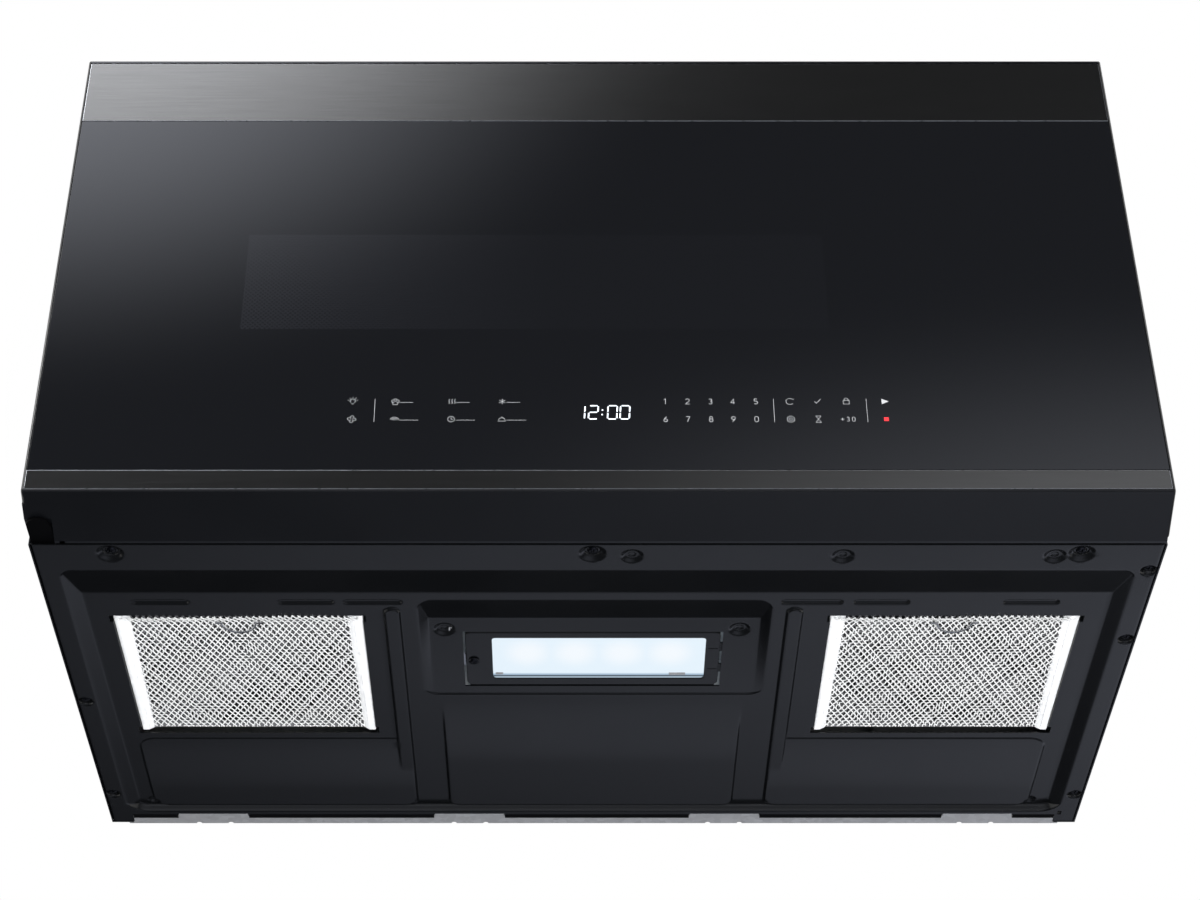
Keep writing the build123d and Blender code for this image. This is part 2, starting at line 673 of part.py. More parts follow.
with BuildPart() as turntable_motor:
    motor_top = cavity_floor - sheet
    block(
        (cavity_x - turn_motor_width / 2, cavity_x + turn_motor_width / 2),
        (tray_out - turn_motor_length / 2, tray_out + turn_motor_length / 2),
        (motor_top - turn_motor_height, motor_top),
    )
    fillet(turntable_motor.edges().filter_by(Axis.Z), turn_motor_corner)
    with Locations((cavity_x, -tray_out, motor_top)):
        Hole(coupler_shaft_radius + pin_fit, turn_motor_height - 2 * sheet)
turntable_motor.part.label = "turntable_motor"
export_step(turntable_motor.part, "parts/turntable_motor.step")

with BuildPart() as turntable_coupler:
    lobe_top = tray_low - seat
    with BuildSketch(Plane(origin=(cavity_x, -tray_out, lobe_top), z_dir=(0, 0, 1))):
        Circle(coupler_radius - lobe_radius)
        with PolarLocations(coupler_radius - lobe_radius, roller_count):
            Circle(lobe_radius)
    extrude(amount=-coupler_height)
    with Locations((cavity_x, -tray_out, lobe_top - coupler_height)):
        Cylinder(
            coupler_shaft_radius,
            lobe_top - coupler_height - motor_top + turn_motor_height / 2,
            align=(Align.CENTER, Align.CENTER, Align.MAX),
        )
turntable_coupler.part.label = "turntable_coupler"
export_step(turntable_coupler.part, "parts/turntable_coupler.step")

with BuildPart() as glass_tray:
    with BuildSketch(Plane(origin=(cavity_x, -tray_out, 0), x_dir=(1, 0, 0), z_dir=(0, -1, 0))):
        with BuildLine():
            Polyline(
                (0, tray_low), (tray_foot_radius, tray_low),
                (tray_radius, tray_low + tray_rim_height - tray_wall),
                (tray_radius, tray_low + tray_rim_height),
                (tray_radius - tray_wall, tray_low + tray_rim_height),
                (tray_foot_radius - tray_wall, tray_low + tray_thickness),
                (0, tray_low + tray_thickness),
                close=True,
            )
        make_face()
    revolve(axis=coupler_axis)
glass_tray.part.label = "glass_tray"
export_step(glass_tray.part, "parts/glass_tray.step")

axle_reach = roller_track + roller_width / 2 + axle_radius
axle_level = Plane(origin=(cavity_x, -tray_out, roller_level), z_dir=(0, 0, 1))
axles = [axle_level.rotated((0, 0, roller_start + 360 * i / roller_count)) for i in range(roller_count)]

with BuildPart() as roller_ring:
    with BuildSketch(Plane(origin=(cavity_x, -tray_out, roller_level - ring_height / 2), z_dir=(0, 0, 1))):
        Circle(ring_outer_radius)
        Circle(ring_inner_radius, mode=Mode.SUBTRACT)
    extrude(amount=ring_height)
    for axle in axles:
        with Locations(Plane(origin=axle.origin + axle.x_dir * ring_inner_radius, z_dir=axle.x_dir)):
            Cylinder(
                axle_radius, axle_reach - ring_inner_radius, align=(Align.CENTER, Align.CENTER, Align.MIN)
            )
roller_ring.part.label = "roller_ring"
export_step(roller_ring.part, "parts/roller_ring.step")

for index, axle in enumerate(axles):
    with BuildPart() as roller:
        with Locations(Plane(origin=axle.origin + axle.x_dir * roller_track, z_dir=axle.x_dir)):
            Cylinder(roller_radius, roller_width)
            Cylinder(axle_radius + pin_fit, 2 * roller_width, mode=Mode.SUBTRACT)
    roller.part.label = f"roller_{index + 1}"
    export_step(roller.part, f"parts/roller_{index + 1}.step")

# ---- Component bay: tray, transformer, capacitor and noise filter board ------------------------
bay_level = 60.0
bay_left = cavity_right + sheet
bay_right = inner_half
bay_front_out = face_out - 6.0
bay_rear_out = back_out + sheet
tray_lip = 10.0

with BuildPart() as component_tray:
    block((bay_left, bay_right), (bay_rear_out, bay_front_out), (bay_level, bay_level + sheet))
    block(
        (bay_left, bay_left + sheet), (cavity_back_out, bay_front_out),
        (bay_level, cavity_floor + tray_lip),
    )
    block(
        (bay_right - sheet, bay_right), (bay_rear_out, bay_front_out), (bay_level, bay_level + tray_lip)
    )
component_tray.part.label = "component_tray"
export_step(component_tray.part, "parts/component_tray.step")

bay_floor = bay_level + sheet
core_inset = 75.0  # its centre from the bay's left side
core_set_back = 80.5  # and from the bay's front
core_x = bay_left + core_inset
core_out = bay_front_out - core_set_back
core_width = 84.0
core_length = 66.0
core_height = 78.0
core_leg = 16.0
winding_gap = 0.5
winding_corner = 8.0
core_edge = 1.0

with BuildPart() as transformer_core:
    core_middle = (core_x, -core_out, bay_floor + core_height / 2)
    with BuildSketch(Plane(origin=core_middle, x_dir=(1, 0, 0), z_dir=(0, -1, 0))):
        Rectangle(core_width, core_height)
        with GridLocations(core_width / 2 - core_leg / 2, 1, 2, 1):
            Rectangle(core_width / 2 - 1.5 * core_leg, core_height - 2 * core_leg, mode=Mode.SUBTRACT)
    extrude(amount=core_length / 2, both=True)
    fillet(transformer_core.edges().filter_by(Axis.Y), core_edge)
transformer_core.part.label = "transformer_core"
export_step(transformer_core.part, "parts/transformer_core.step")

with BuildPart() as transformer_windings:
    window_half = core_width / 2 - core_leg
    coil_height = (core_height - 2 * core_leg - 3 * winding_gap) / 2
    for level in (bay_floor + core_leg + winding_gap, bay_floor + core_height / 2 + winding_gap / 2):
        with BuildSketch(Plane(origin=(core_x, -core_out, level), z_dir=(0, 0, 1))):
            RectangleRounded(
                2 * (window_half - winding_gap), core_length + 2 * (window_half - core_leg / 2),
                winding_corner,
            )
            Rectangle(
                core_leg + 2 * winding_gap, core_length + 2 * winding_gap, mode=Mode.SUBTRACT
            )
        extrude(amount=coil_height)
transformer_windings.part.label = "transformer_windings"
export_step(transformer_windings.part, "parts/transformer_windings.step")

capacitor_inset = 32.5
capacitor_x = bay_right - capacitor_inset
capacitor_out = 190.0
capacitor_width = 50.0
capacitor_depth = 32.0
capacitor_height = 92.0
terminal_radius = 3.0
terminal_height = 10.0

with BuildPart() as capacitor:
    with BuildSketch(Plane(origin=(capacitor_x, -capacitor_out, bay_floor), z_dir=(0, 0, 1))):
        SlotOverall(capacitor_width, capacitor_depth)
    extrude(amount=capacitor_height)
    with Locations((capacitor_x, -capacitor_out, bay_floor + capacitor_height)):
        with GridLocations(capacitor_width / 2, 1, 2, 1):
            Cylinder(
                terminal_radius, terminal_height, align=(Align.CENTER, Align.CENTER, Align.MIN)
            )
capacitor.part.label = "capacitor"
export_step(capacitor.part, "parts/capacitor.step")

filter_board_inset = 78.5
filter_board_x = bay_right - filter_board_inset
filter_board_out = 120.0
filter_board_width = 90.0
filter_board_length = 60.0
standoff_height = 6.0
standoff_radius = 3.0
standoff_inset = 6.0
choke_coil_x = -20.0  # from the middle of the board
choke_coil_radius = 14.0
choke_coil_height = 18.0
filter_capacitor_x = 22.0
filter_capacitor_width = 24.0
filter_capacitor_length = 30.0
filter_capacitor_height = 16.0

with BuildPart() as noise_filter_board:
    board_level = bay_floor + standoff_height
    block(
        (filter_board_x - filter_board_width / 2, filter_board_x + filter_board_width / 2),
        (filter_board_out - filter_board_length / 2, filter_board_out + filter_board_length / 2),
        (board_level, board_level + board_thickness),
    )
    with Locations((filter_board_x, -filter_board_out, bay_floor)):
        with GridLocations(
            filter_board_width - 2 * standoff_inset, filter_board_length - 2 * standoff_inset, 2, 2
        ):
            Cylinder(
                standoff_radius, standoff_height, align=(Align.CENTER, Align.CENTER, Align.MIN)
            )
    board_top = board_level + board_thickness
    with Locations((filter_board_x + choke_coil_x, -filter_board_out, board_top)):
        Cylinder(
            choke_coil_radius, choke_coil_height, align=(Align.CENTER, Align.CENTER, Align.MIN)
        )
    with Locations((filter_board_x + filter_capacitor_x, -filter_board_out, board_top)):
        Box(
            filter_capacitor_width, filter_capacitor_length, filter_capacitor_height,
            align=(Align.CENTER, Align.CENTER, Align.MIN),
        )
noise_filter_board.part.label = "noise_filter_board"
export_step(noise_filter_board.part, "parts/noise_filter_board.step")

# ---- Microwave source: magnetron with its fins, waveguide on the cavity wall, mica cover -------
guide_depth = 30.0
guide_low = feed_low - 12.0
guide_drop = 20.0  # below the cavity's ceiling
guide_high = cavity_ceiling - guide_drop
guide_side = 6.0
magnetron_out = (feed_near_out + feed_far_out) / 2
magnetron_drop = 23.0  # its middle below the waveguide's top
magnetron_level = guide_high - magnetron_drop
magnetron_width = 80.0
magnetron_height = 46.0
magnetron_depth = 70.0
antenna_radius = 7.0
antenna_hole_radius = 9.0
antenna_length = 16.0
fin_count = 5
anode_radius = 19.0
filament_box_depth = 12.0
filament_box_width = 40.0
filament_box_height = 30.0
mica_margin = 8.0
mica_thickness = 0.6
guide_face = cavity_right + sheet + guide_depth

with BuildPart() as waveguide:
    block(
        (cavity_right + sheet, guide_face), (feed_near_out - guide_side, feed_far_out + guide_side),
        (guide_low, guide_high),
    )
    block(
        (cavity_right + sheet, guide_face - sheet),
        (feed_near_out - guide_side + sheet, feed_far_out + guide_side - sheet),
        (guide_low + sheet, guide_high - sheet), Mode.SUBTRACT,
    )
    with Locations(Plane(origin=(guide_face, -magnetron_out, magnetron_level), z_dir=(1, 0, 0))):
        Cylinder(antenna_hole_radius, 4 * sheet, mode=Mode.SUBTRACT)
waveguide.part.label = "waveguide"
export_step(waveguide.part, "parts/waveguide.step")

with BuildPart() as waveguide_cover:
    block(
        (cavity_right - mica_thickness, cavity_right),
        (feed_near_out - mica_margin, feed_far_out + mica_margin),
        (feed_low - mica_margin, feed_high + mica_margin),
    )
waveguide_cover.part.label = "waveguide_cover"
export_step(waveguide_cover.part, "parts/waveguide_cover.step")

with BuildPart() as magnetron:
    yoke = (guide_face, guide_face + magnetron_depth)
    yoke_outs = (magnetron_out - magnetron_width / 2, magnetron_out + magnetron_width / 2)
    low = magnetron_level - magnetron_height / 2
    high = magnetron_level + magnetron_height / 2
    block(yoke, yoke_outs, (low, high))
    block(
        (yoke[0] + sheet, yoke[1] - sheet), (yoke_outs[0] + sheet, yoke_outs[1] - sheet), (low, high),
        Mode.SUBTRACT,
    )
    for index in range(fin_count):
        fin_x = yoke[0] + magnetron_depth * (index + 1) / (fin_count + 1)
        block((fin_x - sheet / 2, fin_x + sheet / 2), yoke_outs, (low, high))
    with Locations(Plane(origin=(yoke[0], -magnetron_out, magnetron_level), z_dir=(1, 0, 0))):
        Cylinder(antenna_radius, antenna_length, align=(Align.CENTER, Align.CENTER, Align.MAX))
        Cylinder(anode_radius, magnetron_depth, align=(Align.CENTER, Align.CENTER, Align.MIN))
    block(
        (yoke[1], yoke[1] + filament_box_depth),
        (magnetron_out - filament_box_width / 2, magnetron_out + filament_box_width / 2),
        (magnetron_level - filament_box_height / 2, magnetron_level + filament_box_height / 2),
    )
magnetron.part.label = "magnetron"
export_step(magnetron.part, "parts/magnetron.step")

# ---- Cooling fan behind the magnetron, with its shroud and motor -------------------------------
fan_drop = 12.0  # below the magnetron's middle
fan_x = filter_board_x
fan_level = magnetron_level - fan_drop
fan_out = 72.0
fan_radius = 44.0
fan_hub_radius = 12.0
fan_depth = 16.0
fan_blades = 5
fan_blade_angle = 28.0
fan_shaft_radius = 2.5
fan_motor_size = 44.0
fan_motor_depth = 26.0
shroud_size = 104.0
shroud_depth = 20.0
shroud_clearance = 3.0
shroud_corner = 4.0
strut_width = 14.0
post_width = 40.0
post_leg = 6.0
post_window_low = 30.0  # above the bay's floor
post_window_inset = 8.0
blade_width = 24.0
motor_corner = 3.0
fan_plane = Plane(origin=(fan_x, -fan_out, fan_level), x_dir=(1, 0, 0), z_dir=(0, -1, 0))

with BuildPart() as fan_shroud:
    with BuildSketch(fan_plane.offset(-shroud_depth / 2)):
        RectangleRounded(shroud_size, shroud_size, shroud_corner)
        Circle(fan_radius + shroud_clearance, mode=Mode.SUBTRACT)
    extrude(amount=shroud_depth)
    motor_face = -shroud_depth / 2 - 3 * sheet
    with BuildSketch(fan_plane.offset(motor_face)):
        Rectangle(shroud_size, strut_width)
        Rectangle(strut_width, shroud_size)
        Circle(fan_shaft_radius + sheet, mode=Mode.SUBTRACT)
    extrude(amount=3 * sheet)
    bracket_level = fan_level - shroud_size / 2
    block(
        (fan_x - post_width / 2, fan_x + post_width / 2),
        (fan_out - shroud_depth / 2, fan_out + shroud_depth / 2), (bay_floor, bracket_level + sheet),
    )
    block(
        (fan_x - post_width / 2 + post_leg, fan_x + post_width / 2 - post_leg),
        (fan_out - shroud_depth, fan_out + shroud_depth),
        (bay_floor + post_window_low, bracket_level - post_window_inset), Mode.SUBTRACT,
    )
fan_shroud.part.label = "fan_shroud"
export_step(fan_shroud.part, "parts/fan_shroud.step")

with BuildPart() as fan_motor:
    with BuildSketch(fan_plane.offset(motor_face - fan_motor_depth)):
        RectangleRounded(fan_motor_size, fan_motor_size, motor_corner)
        Circle(fan_shaft_radius + pin_fit, mode=Mode.SUBTRACT)
    extrude(amount=fan_motor_depth)
fan_motor.part.label = "fan_motor"
export_step(fan_motor.part, "parts/fan_motor.step")

with BuildPart() as cooling_fan:
    with BuildSketch(fan_plane.offset(-fan_depth / 2)):
        Circle(fan_hub_radius)
    extrude(amount=fan_depth)
    with BuildSketch(fan_plane.offset(motor_face - fan_motor_depth)):
        Circle(fan_shaft_radius)
    extrude(amount=fan_motor_depth - motor_face)
    for index in range(fan_blades):
        turn = 360 * index / fan_blades
        blade_middle = Location(((fan_radius + fan_hub_radius) / 2 - sheet, 0, 0))
        spoke = fan_plane.location * Rotation(0, 0, turn) * blade_middle
        with Locations(spoke * Rotation(fan_blade_angle, 0, 0)):
            Box(fan_radius - fan_hub_radius, blade_width, sheet)
cooling_fan.part.label = "cooling_fan"
export_step(cooling_fan.part, "parts/cooling_fan.step")

# ---- Cavity lamp: small box over the slots in the cavity's ceiling -----------------------------
cavity_top = cavity_ceiling + sheet
lamp_box_width = 52.0
lamp_box_length = 40.0
lamp_box_height = 22.0

with BuildPart() as cavity_lamp:
    lamp_x = (cavity_lamp_x - lamp_box_width / 2, cavity_lamp_x + lamp_box_width / 2)
    lamp_outs = (cavity_lamp_out - lamp_box_length / 2, cavity_lamp_out + lamp_box_length / 2)
    block(lamp_x, lamp_outs, (cavity_top, cavity_top + lamp_box_height))
    block(
        (lamp_x[0] + sheet, lamp_x[1] - sheet), (lamp_outs[0] + sheet, lamp_outs[1] - sheet),
        (cavity_top - sheet, cavity_top + lamp_box_height - sheet), Mode.SUBTRACT,
    )
    with Locations((cavity_lamp_x, -cavity_lamp_out, cavity_top + lamp_box_height - sheet)):
        Box(lamp_slot_length, led_size, led_height, align=(Align.CENTER, Align.CENTER, Align.MAX))
cavity_lamp.part.label = "cavity_lamp"
export_step(cavity_lamp.part, "parts/cavity_lamp.step")

# ---- Vent blower: two-ended motor, two squirrel-cage wheels on one shaft, two scroll housings --
blower_out = 78.0
blower_drop = 41.0  # its shaft below the top panel
blower_level = under_top - blower_drop
blower_motor_radius = 27.0
blower_motor_length = 74.0
blower_shaft_radius = 4.0
wheel_radius = 31.0
wheel_length = 60.0
wheel_blade = 4.0
wheel_slots = 12
wheel_disc = 2.0
wheel_hub_radius = 9.0
scroll_radius = 38.0
scroll_wall = 1.5
scroll_gap = 3.0  # from the wheel to the scroll's side walls
scroll_motor_gap = 6.0
scroll_foot = 6.0
inlet_radius = 25.0
scroll_length = wheel_length + 2 * scroll_gap + 2 * scroll_wall
scroll_near = blower_motor_length / 2 + scroll_motor_gap
scroll_middle = scroll_near + scroll_length / 2
throat_rise = under_top - blower_level


def across_plane(x, out, level):
    """A plane across the oven at one X, its origin on an axis that runs left to right."""
    return Plane(origin=(x, -out, level), x_dir=(0, 1, 0), z_dir=(1, 0, 0))


with BuildPart() as blower_motor:
    with BuildSketch(across_plane(-blower_motor_length / 2, blower_out, blower_level)):
        Circle(blower_motor_radius)
        Circle(blower_shaft_radius + pin_fit, mode=Mode.SUBTRACT)
    extrude(amount=blower_motor_length)
    block(
        (-blower_motor_length / 4, blower_motor_length / 4),
        (blower_out - blower_motor_radius / 3, blower_out + blower_motor_radius / 3),
        (cavity_top, blower_level - blower_motor_radius + sheet),
    )
blower_motor.part.label = "blower_motor"
export_step(blower_motor.part, "parts/blower_motor.step")

with BuildPart() as blower_rotor:
    for middle in (-scroll_middle, scroll_middle):
        wheel_end = middle - wheel_length / 2
        with BuildSketch(across_plane(wheel_end, blower_out, blower_level)):
            Circle(wheel_radius)
            Circle(wheel_radius - wheel_blade, mode=Mode.SUBTRACT)
        extrude(amount=wheel_length)
        with BuildSketch(across_plane(wheel_end + 2 * wheel_disc, blower_out, blower_level)):
            with PolarLocations(wheel_radius - wheel_blade / 2, wheel_slots):
                Rectangle(2 * wheel_blade, 2 * wheel_blade)
        extrude(amount=wheel_length - 4 * wheel_disc, mode=Mode.SUBTRACT)
        with BuildSketch(across_plane(middle - wheel_disc / 2, blower_out, blower_level)):
            Circle(wheel_radius)
        extrude(amount=wheel_disc)
        with BuildSketch(across_plane(middle - wheel_hub_radius, blower_out, blower_level)):
            Circle(wheel_hub_radius)
        extrude(amount=2 * wheel_hub_radius)
    with BuildSketch(across_plane(-scroll_middle - wheel_length / 2, blower_out, blower_level)):
        Circle(blower_shaft_radius)
    extrude(amount=2 * scroll_middle + wheel_length)
blower_rotor.part.label = "blower_rotor"
export_step(blower_rotor.part, "parts/blower_rotor.step")

with BuildPart() as blower_scrolls:
    for middle in (-scroll_middle, scroll_middle):
        scroll_end = middle - scroll_length / 2
        with BuildSketch(across_plane(scroll_end, blower_out, blower_level)):
            Circle(scroll_radius)
            with Locations((0, throat_rise / 2)):
                Rectangle(2 * scroll_radius, throat_rise)
        extrude(amount=scroll_length)
        with BuildSketch(across_plane(scroll_end + scroll_wall, blower_out, blower_level)):
            Circle(scroll_radius - scroll_wall)
            with Locations((0, throat_rise / 2)):
                Rectangle(2 * (scroll_radius - scroll_wall), throat_rise)
        extrude(amount=scroll_length - 2 * scroll_wall, mode=Mode.SUBTRACT)
        with Locations(across_plane(middle, blower_out, blower_level)):
            Cylinder(inlet_radius, 2 * scroll_length, mode=Mode.SUBTRACT)
        for side in (-1, 1):
            foot_x = middle + side * (scroll_length / 2 - scroll_foot)
            block(
                (foot_x - scroll_foot / 2, foot_x + scroll_foot / 2),
                (blower_out - scroll_foot, blower_out + scroll_foot),
                (cavity_top, blower_level - scroll_radius + scroll_wall),
            )
blower_scrolls.part.label = "blower_scrolls"
export_step(blower_scrolls.part, "parts/blower_scrolls.step")

# ---- Top vent: louvred front and the charcoal filter behind it --------------------------------
vent_out = depth - 24.0  # set back behind the door's face, clear of the swinging door
vent_wall = 2.0
vent_bars = 6
vent_edge = 2.0
vent_bar_width = 8.0
vent_slot_height = 9.0
vent_pitch = (width - 4 * vent_wall) / vent_bars
vent_slot_width = vent_pitch - vent_bar_width
charcoal_width = 300.0
charcoal_length = 40.0
charcoal_height = 14.0
charcoal_gap = 4.0

with BuildPart() as top_vent:
    block((-half_width, half_width), (body_out, vent_out), (vent_low, height))
    fillet(top_vent.edges().filter_by(Axis.X).group_by(Axis.Y)[0], vent_edge)
    block(
        (-half_width + vent_wall, half_width - vent_wall), (body_out, vent_out - vent_wall),
        (vent_low + vent_wall, height - vent_wall), Mode.SUBTRACT,
    )
    with BuildSketch(Plane.XZ.offset(vent_out - 2 * vent_wall)):
        with Locations((0, (vent_low + height) / 2)):
            with GridLocations(vent_pitch, 1, vent_bars, 1):
                SlotOverall(vent_slot_width, vent_slot_height)
    extrude(amount=3 * vent_wall, mode=Mode.SUBTRACT)
top_vent.part.label = "top_vent"
export_step(top_vent.part, "parts/top_vent.step")

with BuildPart() as charcoal_filter:
    charcoal_out = body_out - charcoal_gap
    block(
        (-charcoal_width / 2, charcoal_width / 2), (charcoal_out - charcoal_length, charcoal_out),
        (under_top - seat - charcoal_height, under_top - seat),
    )
charcoal_filter.part.label = "charcoal_filter"
export_step(charcoal_filter.part, "parts/charcoal_filter.step")

# ---- Door hinges: steel brackets behind the face plate, one pin up and one pin down -----------
hinge_pin_radius = 3.0
hinge_pin_length = 13.0
hinge_plate = 2.5
hinge_plate_height = 34.0
hinge_arm_left = -inner_half + seat

with BuildPart() as hinge_brackets:
    for level, up in ((hinge_low, True), (hinge_high, False)):
        arm_top = level + hinge_arm_thickness
        flange = (level, level + hinge_plate_height)
        if not up:
            flange = (arm_top - hinge_plate_height, arm_top)
        block(
            (hinge_arm_left, hinge_x + hinge_arm_half), (face_out - hinge_plate, hinge_out),
            (level, arm_top),
        )
        with Locations((hinge_x, -hinge_out, level)):
            Cylinder(
                hinge_x - hinge_arm_left, hinge_arm_thickness,
                align=(Align.CENTER, Align.CENTER, Align.MIN),
            )
        block(
            (hinge_arm_left, hinge_x + 2 * hinge_arm_half), (face_out - hinge_plate, face_out), flange
        )
        with Locations((hinge_x, -hinge_out, arm_top if up else level)):
            Cylinder(
                hinge_pin_radius, hinge_pin_length,
                align=(Align.CENTER, Align.CENTER, Align.MIN if up else Align.MAX),
            )
hinge_brackets.part.label = "hinge_brackets"
export_step(hinge_brackets.part, "parts/hinge_brackets.step")

# ---- Interlock board behind the latch slots: catch ledges, switches and their plungers ---------
hook_tip_out = body_out - 18.0
hook_barb = 4.0
board_x = latch_x + latch_slot_width / 2 + 1.0
board_wall = 3.0
board_low = latch_low - 24.0
board_high = latch_high + 34.0
board_depth = 46.0
catch_length = 12.0
catch_height = 5.0
switch_width = 11.0
switch_length = 20.0
switch_height = 16.0
plunger_radius = 2.0
plunger_length = 14.0
plunger_reach = 6.0  # stands out of its switch towards the hook
plunger_tip_out = hook_tip_out - 2 * seat

with BuildPart() as interlock_board:
    block(
        (board_x, board_x + board_wall), (face_out - board_depth, face_out), (board_low, board_high)
    )
    for level in (latch_low, latch_high):
        catch_top = level - hook_barb - 2 * seat
        block(
            (latch_x - latch_thickness, board_x), (face_out - catch_length, face_out),
            (catch_top - catch_height, catch_top),
        )
interlock_board.part.label = "interlock_board"
export_step(interlock_board.part, "parts/interlock_board.step")

switch_face_out = plunger_tip_out - plunger_reach
with BuildPart() as interlock_switches:
    for level in (latch_low, latch_high):
        middle = level + latch_shank / 2
        block(
            (board_x - switch_width, board_x), (switch_face_out - switch_length, switch_face_out),
            (middle - switch_height / 2, middle + switch_height / 2),
        )
        with Locations(Plane(origin=(latch_x, -switch_face_out, middle), z_dir=(0, -1, 0))):
            Hole(plunger_radius + pin_fit, plunger_length)
interlock_switches.part.label = "interlock_switches"
export_step(interlock_switches.part, "parts/interlock_switches.step")

with BuildPart() as interlock_plungers:
    for level in (latch_low, latch_high):
        tip = Plane(origin=(latch_x, -plunger_tip_out, level + latch_shank / 2), z_dir=(0, 1, 0))
        with Locations(tip):
            Cylinder(plunger_radius, plunger_length, align=(Align.CENTER, Align.CENTER, Align.MIN))
interlock_plungers.part.label = "interlock_plungers"
export_step(interlock_plungers.part, "parts/interlock_plungers.step")

# ---- Door shell: moulded frame with a sloped underside, hinge bosses and a ledge for the glass --
shell_wall = 3.0
front_rim = 1.6  # the shell shows as a thin line round the glass and the trims
panel_thickness = 4.0
panel_set_back = 0.4
ledge_width = 12.0
ledge_thickness = 2.5
front_corner = 2.0
under_radius = 3.0
boss_width = 24.0
boss_length = 25.0
boss_height = 18.0
boss_root = 2.0  # how far the lower boss stands into the arm's room before it is cut
arm_room_top = hinge_low + hinge_arm_thickness + 1.0
arm_room_width = hinge_inset + hinge_arm_half + 6.0
arm_room_out = hinge_out + 13.0
pin_bore_depth = hinge_pin_length + 1.0
panel_rear_out = depth - panel_set_back - panel_thickness
ledge_rear_out = panel_rear_out - ledge_thickness
under_slope = door_lift / door_thickness


def under_level(out):
    """Height of the door's sloped underside at a distance from the wall."""
    return (out - door_rear_out) * under_slope


with BuildPart() as door_shell:
    with BuildSketch(Plane.YZ.offset(-half_width)):
        with BuildLine():
            Polyline(
                (-depth, door_lift), (-depth, door_top), (-door_rear_out, door_top),
                (-door_rear_out, 0), close=True,
            )
        make_face()
    extrude(amount=width)
    long_edges = door_shell.edges().filter_by(Axis.X)
    fillet(long_edges.sort_by(Axis.Z)[0:2], under_radius)
    fillet(door_shell.edges().filter_by(Axis.Z).group_by(Axis.Y)[0], front_corner)
    with BuildSketch(Plane.YZ.offset(-half_width + shell_wall)):
        with BuildLine():
            Polyline(
                (-ledge_rear_out, under_level(ledge_rear_out) + shell_wall),
                (-ledge_rear_out, door_top - shell_wall),
                (-door_rear_out + shell_wall, door_top - shell_wall),
                (-door_rear_out + shell_wall, under_level(door_rear_out - shell_wall) + shell_wall),
                close=True,
            )
        make_face()
    extrude(amount=width - 2 * shell_wall, mode=Mode.SUBTRACT)
    with BuildSketch(Plane.XZ.offset(panel_rear_out)):
        with Locations((0, (door_lift + door_top) / 2)):
            Rectangle(width - 2 * front_rim, door_height - 2 * front_rim)
    extrude(amount=2 * panel_thickness, mode=Mode.SUBTRACT)
    with BuildSketch(Plane.XZ.offset(ledge_rear_out - shell_wall)):
        with Locations((0, (door_lift + door_top) / 2)):
            Rectangle(width - 2 * ledge_width, door_height - 2 * ledge_width)
    extrude(amount=3 * panel_thickness, mode=Mode.SUBTRACT)
    boss_x = (-half_width, -half_width + boss_width)
    boss_outs = (door_rear_out + shell_wall, door_rear_out + shell_wall + boss_length)
    block(boss_x, boss_outs, (arm_room_top - boss_root, arm_room_top + boss_height))
    block(boss_x, boss_outs, (door_top - boss_height, door_top))
    block(
        (-half_width - sheet, -half_width + arm_room_width), (door_rear_out - sheet, arm_room_out),
        (-sheet, arm_room_top), Mode.SUBTRACT,
    )
    with Locations((hinge_x, -hinge_out, arm_room_top)):
        Cylinder(
            hinge_pin_radius + pin_fit, pin_bore_depth, align=(Align.CENTER, Align.CENTER, Align.MIN),
            mode=Mode.SUBTRACT,
        )
    with Locations((hinge_x, -hinge_out, door_top)):
        Cylinder(
            hinge_pin_radius + pin_fit, pin_bore_depth, align=(Align.CENTER, Align.CENTER, Align.MAX),
            mode=Mode.SUBTRACT,
        )
door_shell.part.label = "door_shell"
export_step(door_shell.part, "parts/door_shell.step")

# ---- Door front: glass between two brushed steel trims ----------------------------------------
bottom_trim_height = 17.5
top_trim_height = 61.5
bottom_trim_top = door_lift + bottom_trim_height
top_trim_low = door_top - top_trim_height
panel_gap = 0.2
panel_half = half_width - front_rim - panel_gap
panel_outs = (panel_rear_out, panel_rear_out + panel_thickness)

with BuildPart() as bottom_trim:
    block((-panel_half, panel_half), panel_outs, (door_lift + front_rim + panel_gap, bottom_trim_top))
bottom_trim.part.label = "bottom_trim"
export_step(bottom_trim.part, "parts/bottom_trim.step")

with BuildPart() as front_glass:
    block((-panel_half, panel_half), panel_outs, (bottom_trim_top + panel_gap, top_trim_low - panel_gap))
front_glass.part.label = "front_glass"
export_step(front_glass.part, "parts/front_glass.step")

with BuildPart() as top_trim:
    block((-panel_half, panel_half), panel_outs, (top_trim_low, door_top - front_rim - panel_gap))
top_trim.part.label = "top_trim"
export_step(top_trim.part, "parts/top_trim.step")

# ---- Door inner: steel pan with the choke channel, window screen, inner pane and choke cover ---
pan_rear_out = door_rear_out + 1.0
pan_outs = (pan_rear_out, pan_rear_out + sheet)
pan_half = half_width - shell_wall - seat
choke_depth = 14.0
choke_outer = 26.0  # beyond the cavity opening
choke_inner = 4.0
window_inset_left = 64.0
window_inset_right = 60.0
window_left = cavity_left + window_inset_left
window_right = cavity_right - window_inset_right
window_low = 152.0
window_high = 238.5
window_margin = 8.0
screen_thickness = 0.6
pane_thickness = 0.6
choke_cover_thickness = 2.4
choke_cover_inset = 6.0  # reaches this far inside the cavity opening
latch_room = 3.0
spring_anchor = latch_low - 34.0  # ledge that the latch spring pushes against
anchor_width = 12.0
choke_cover_corner = 8.0


def cavity_frame(grow):
    """The cavity opening's X and Z ranges, grown all round."""
    return (cavity_left - grow, cavity_right + grow), (cavity_floor - grow, cavity_ceiling + grow)


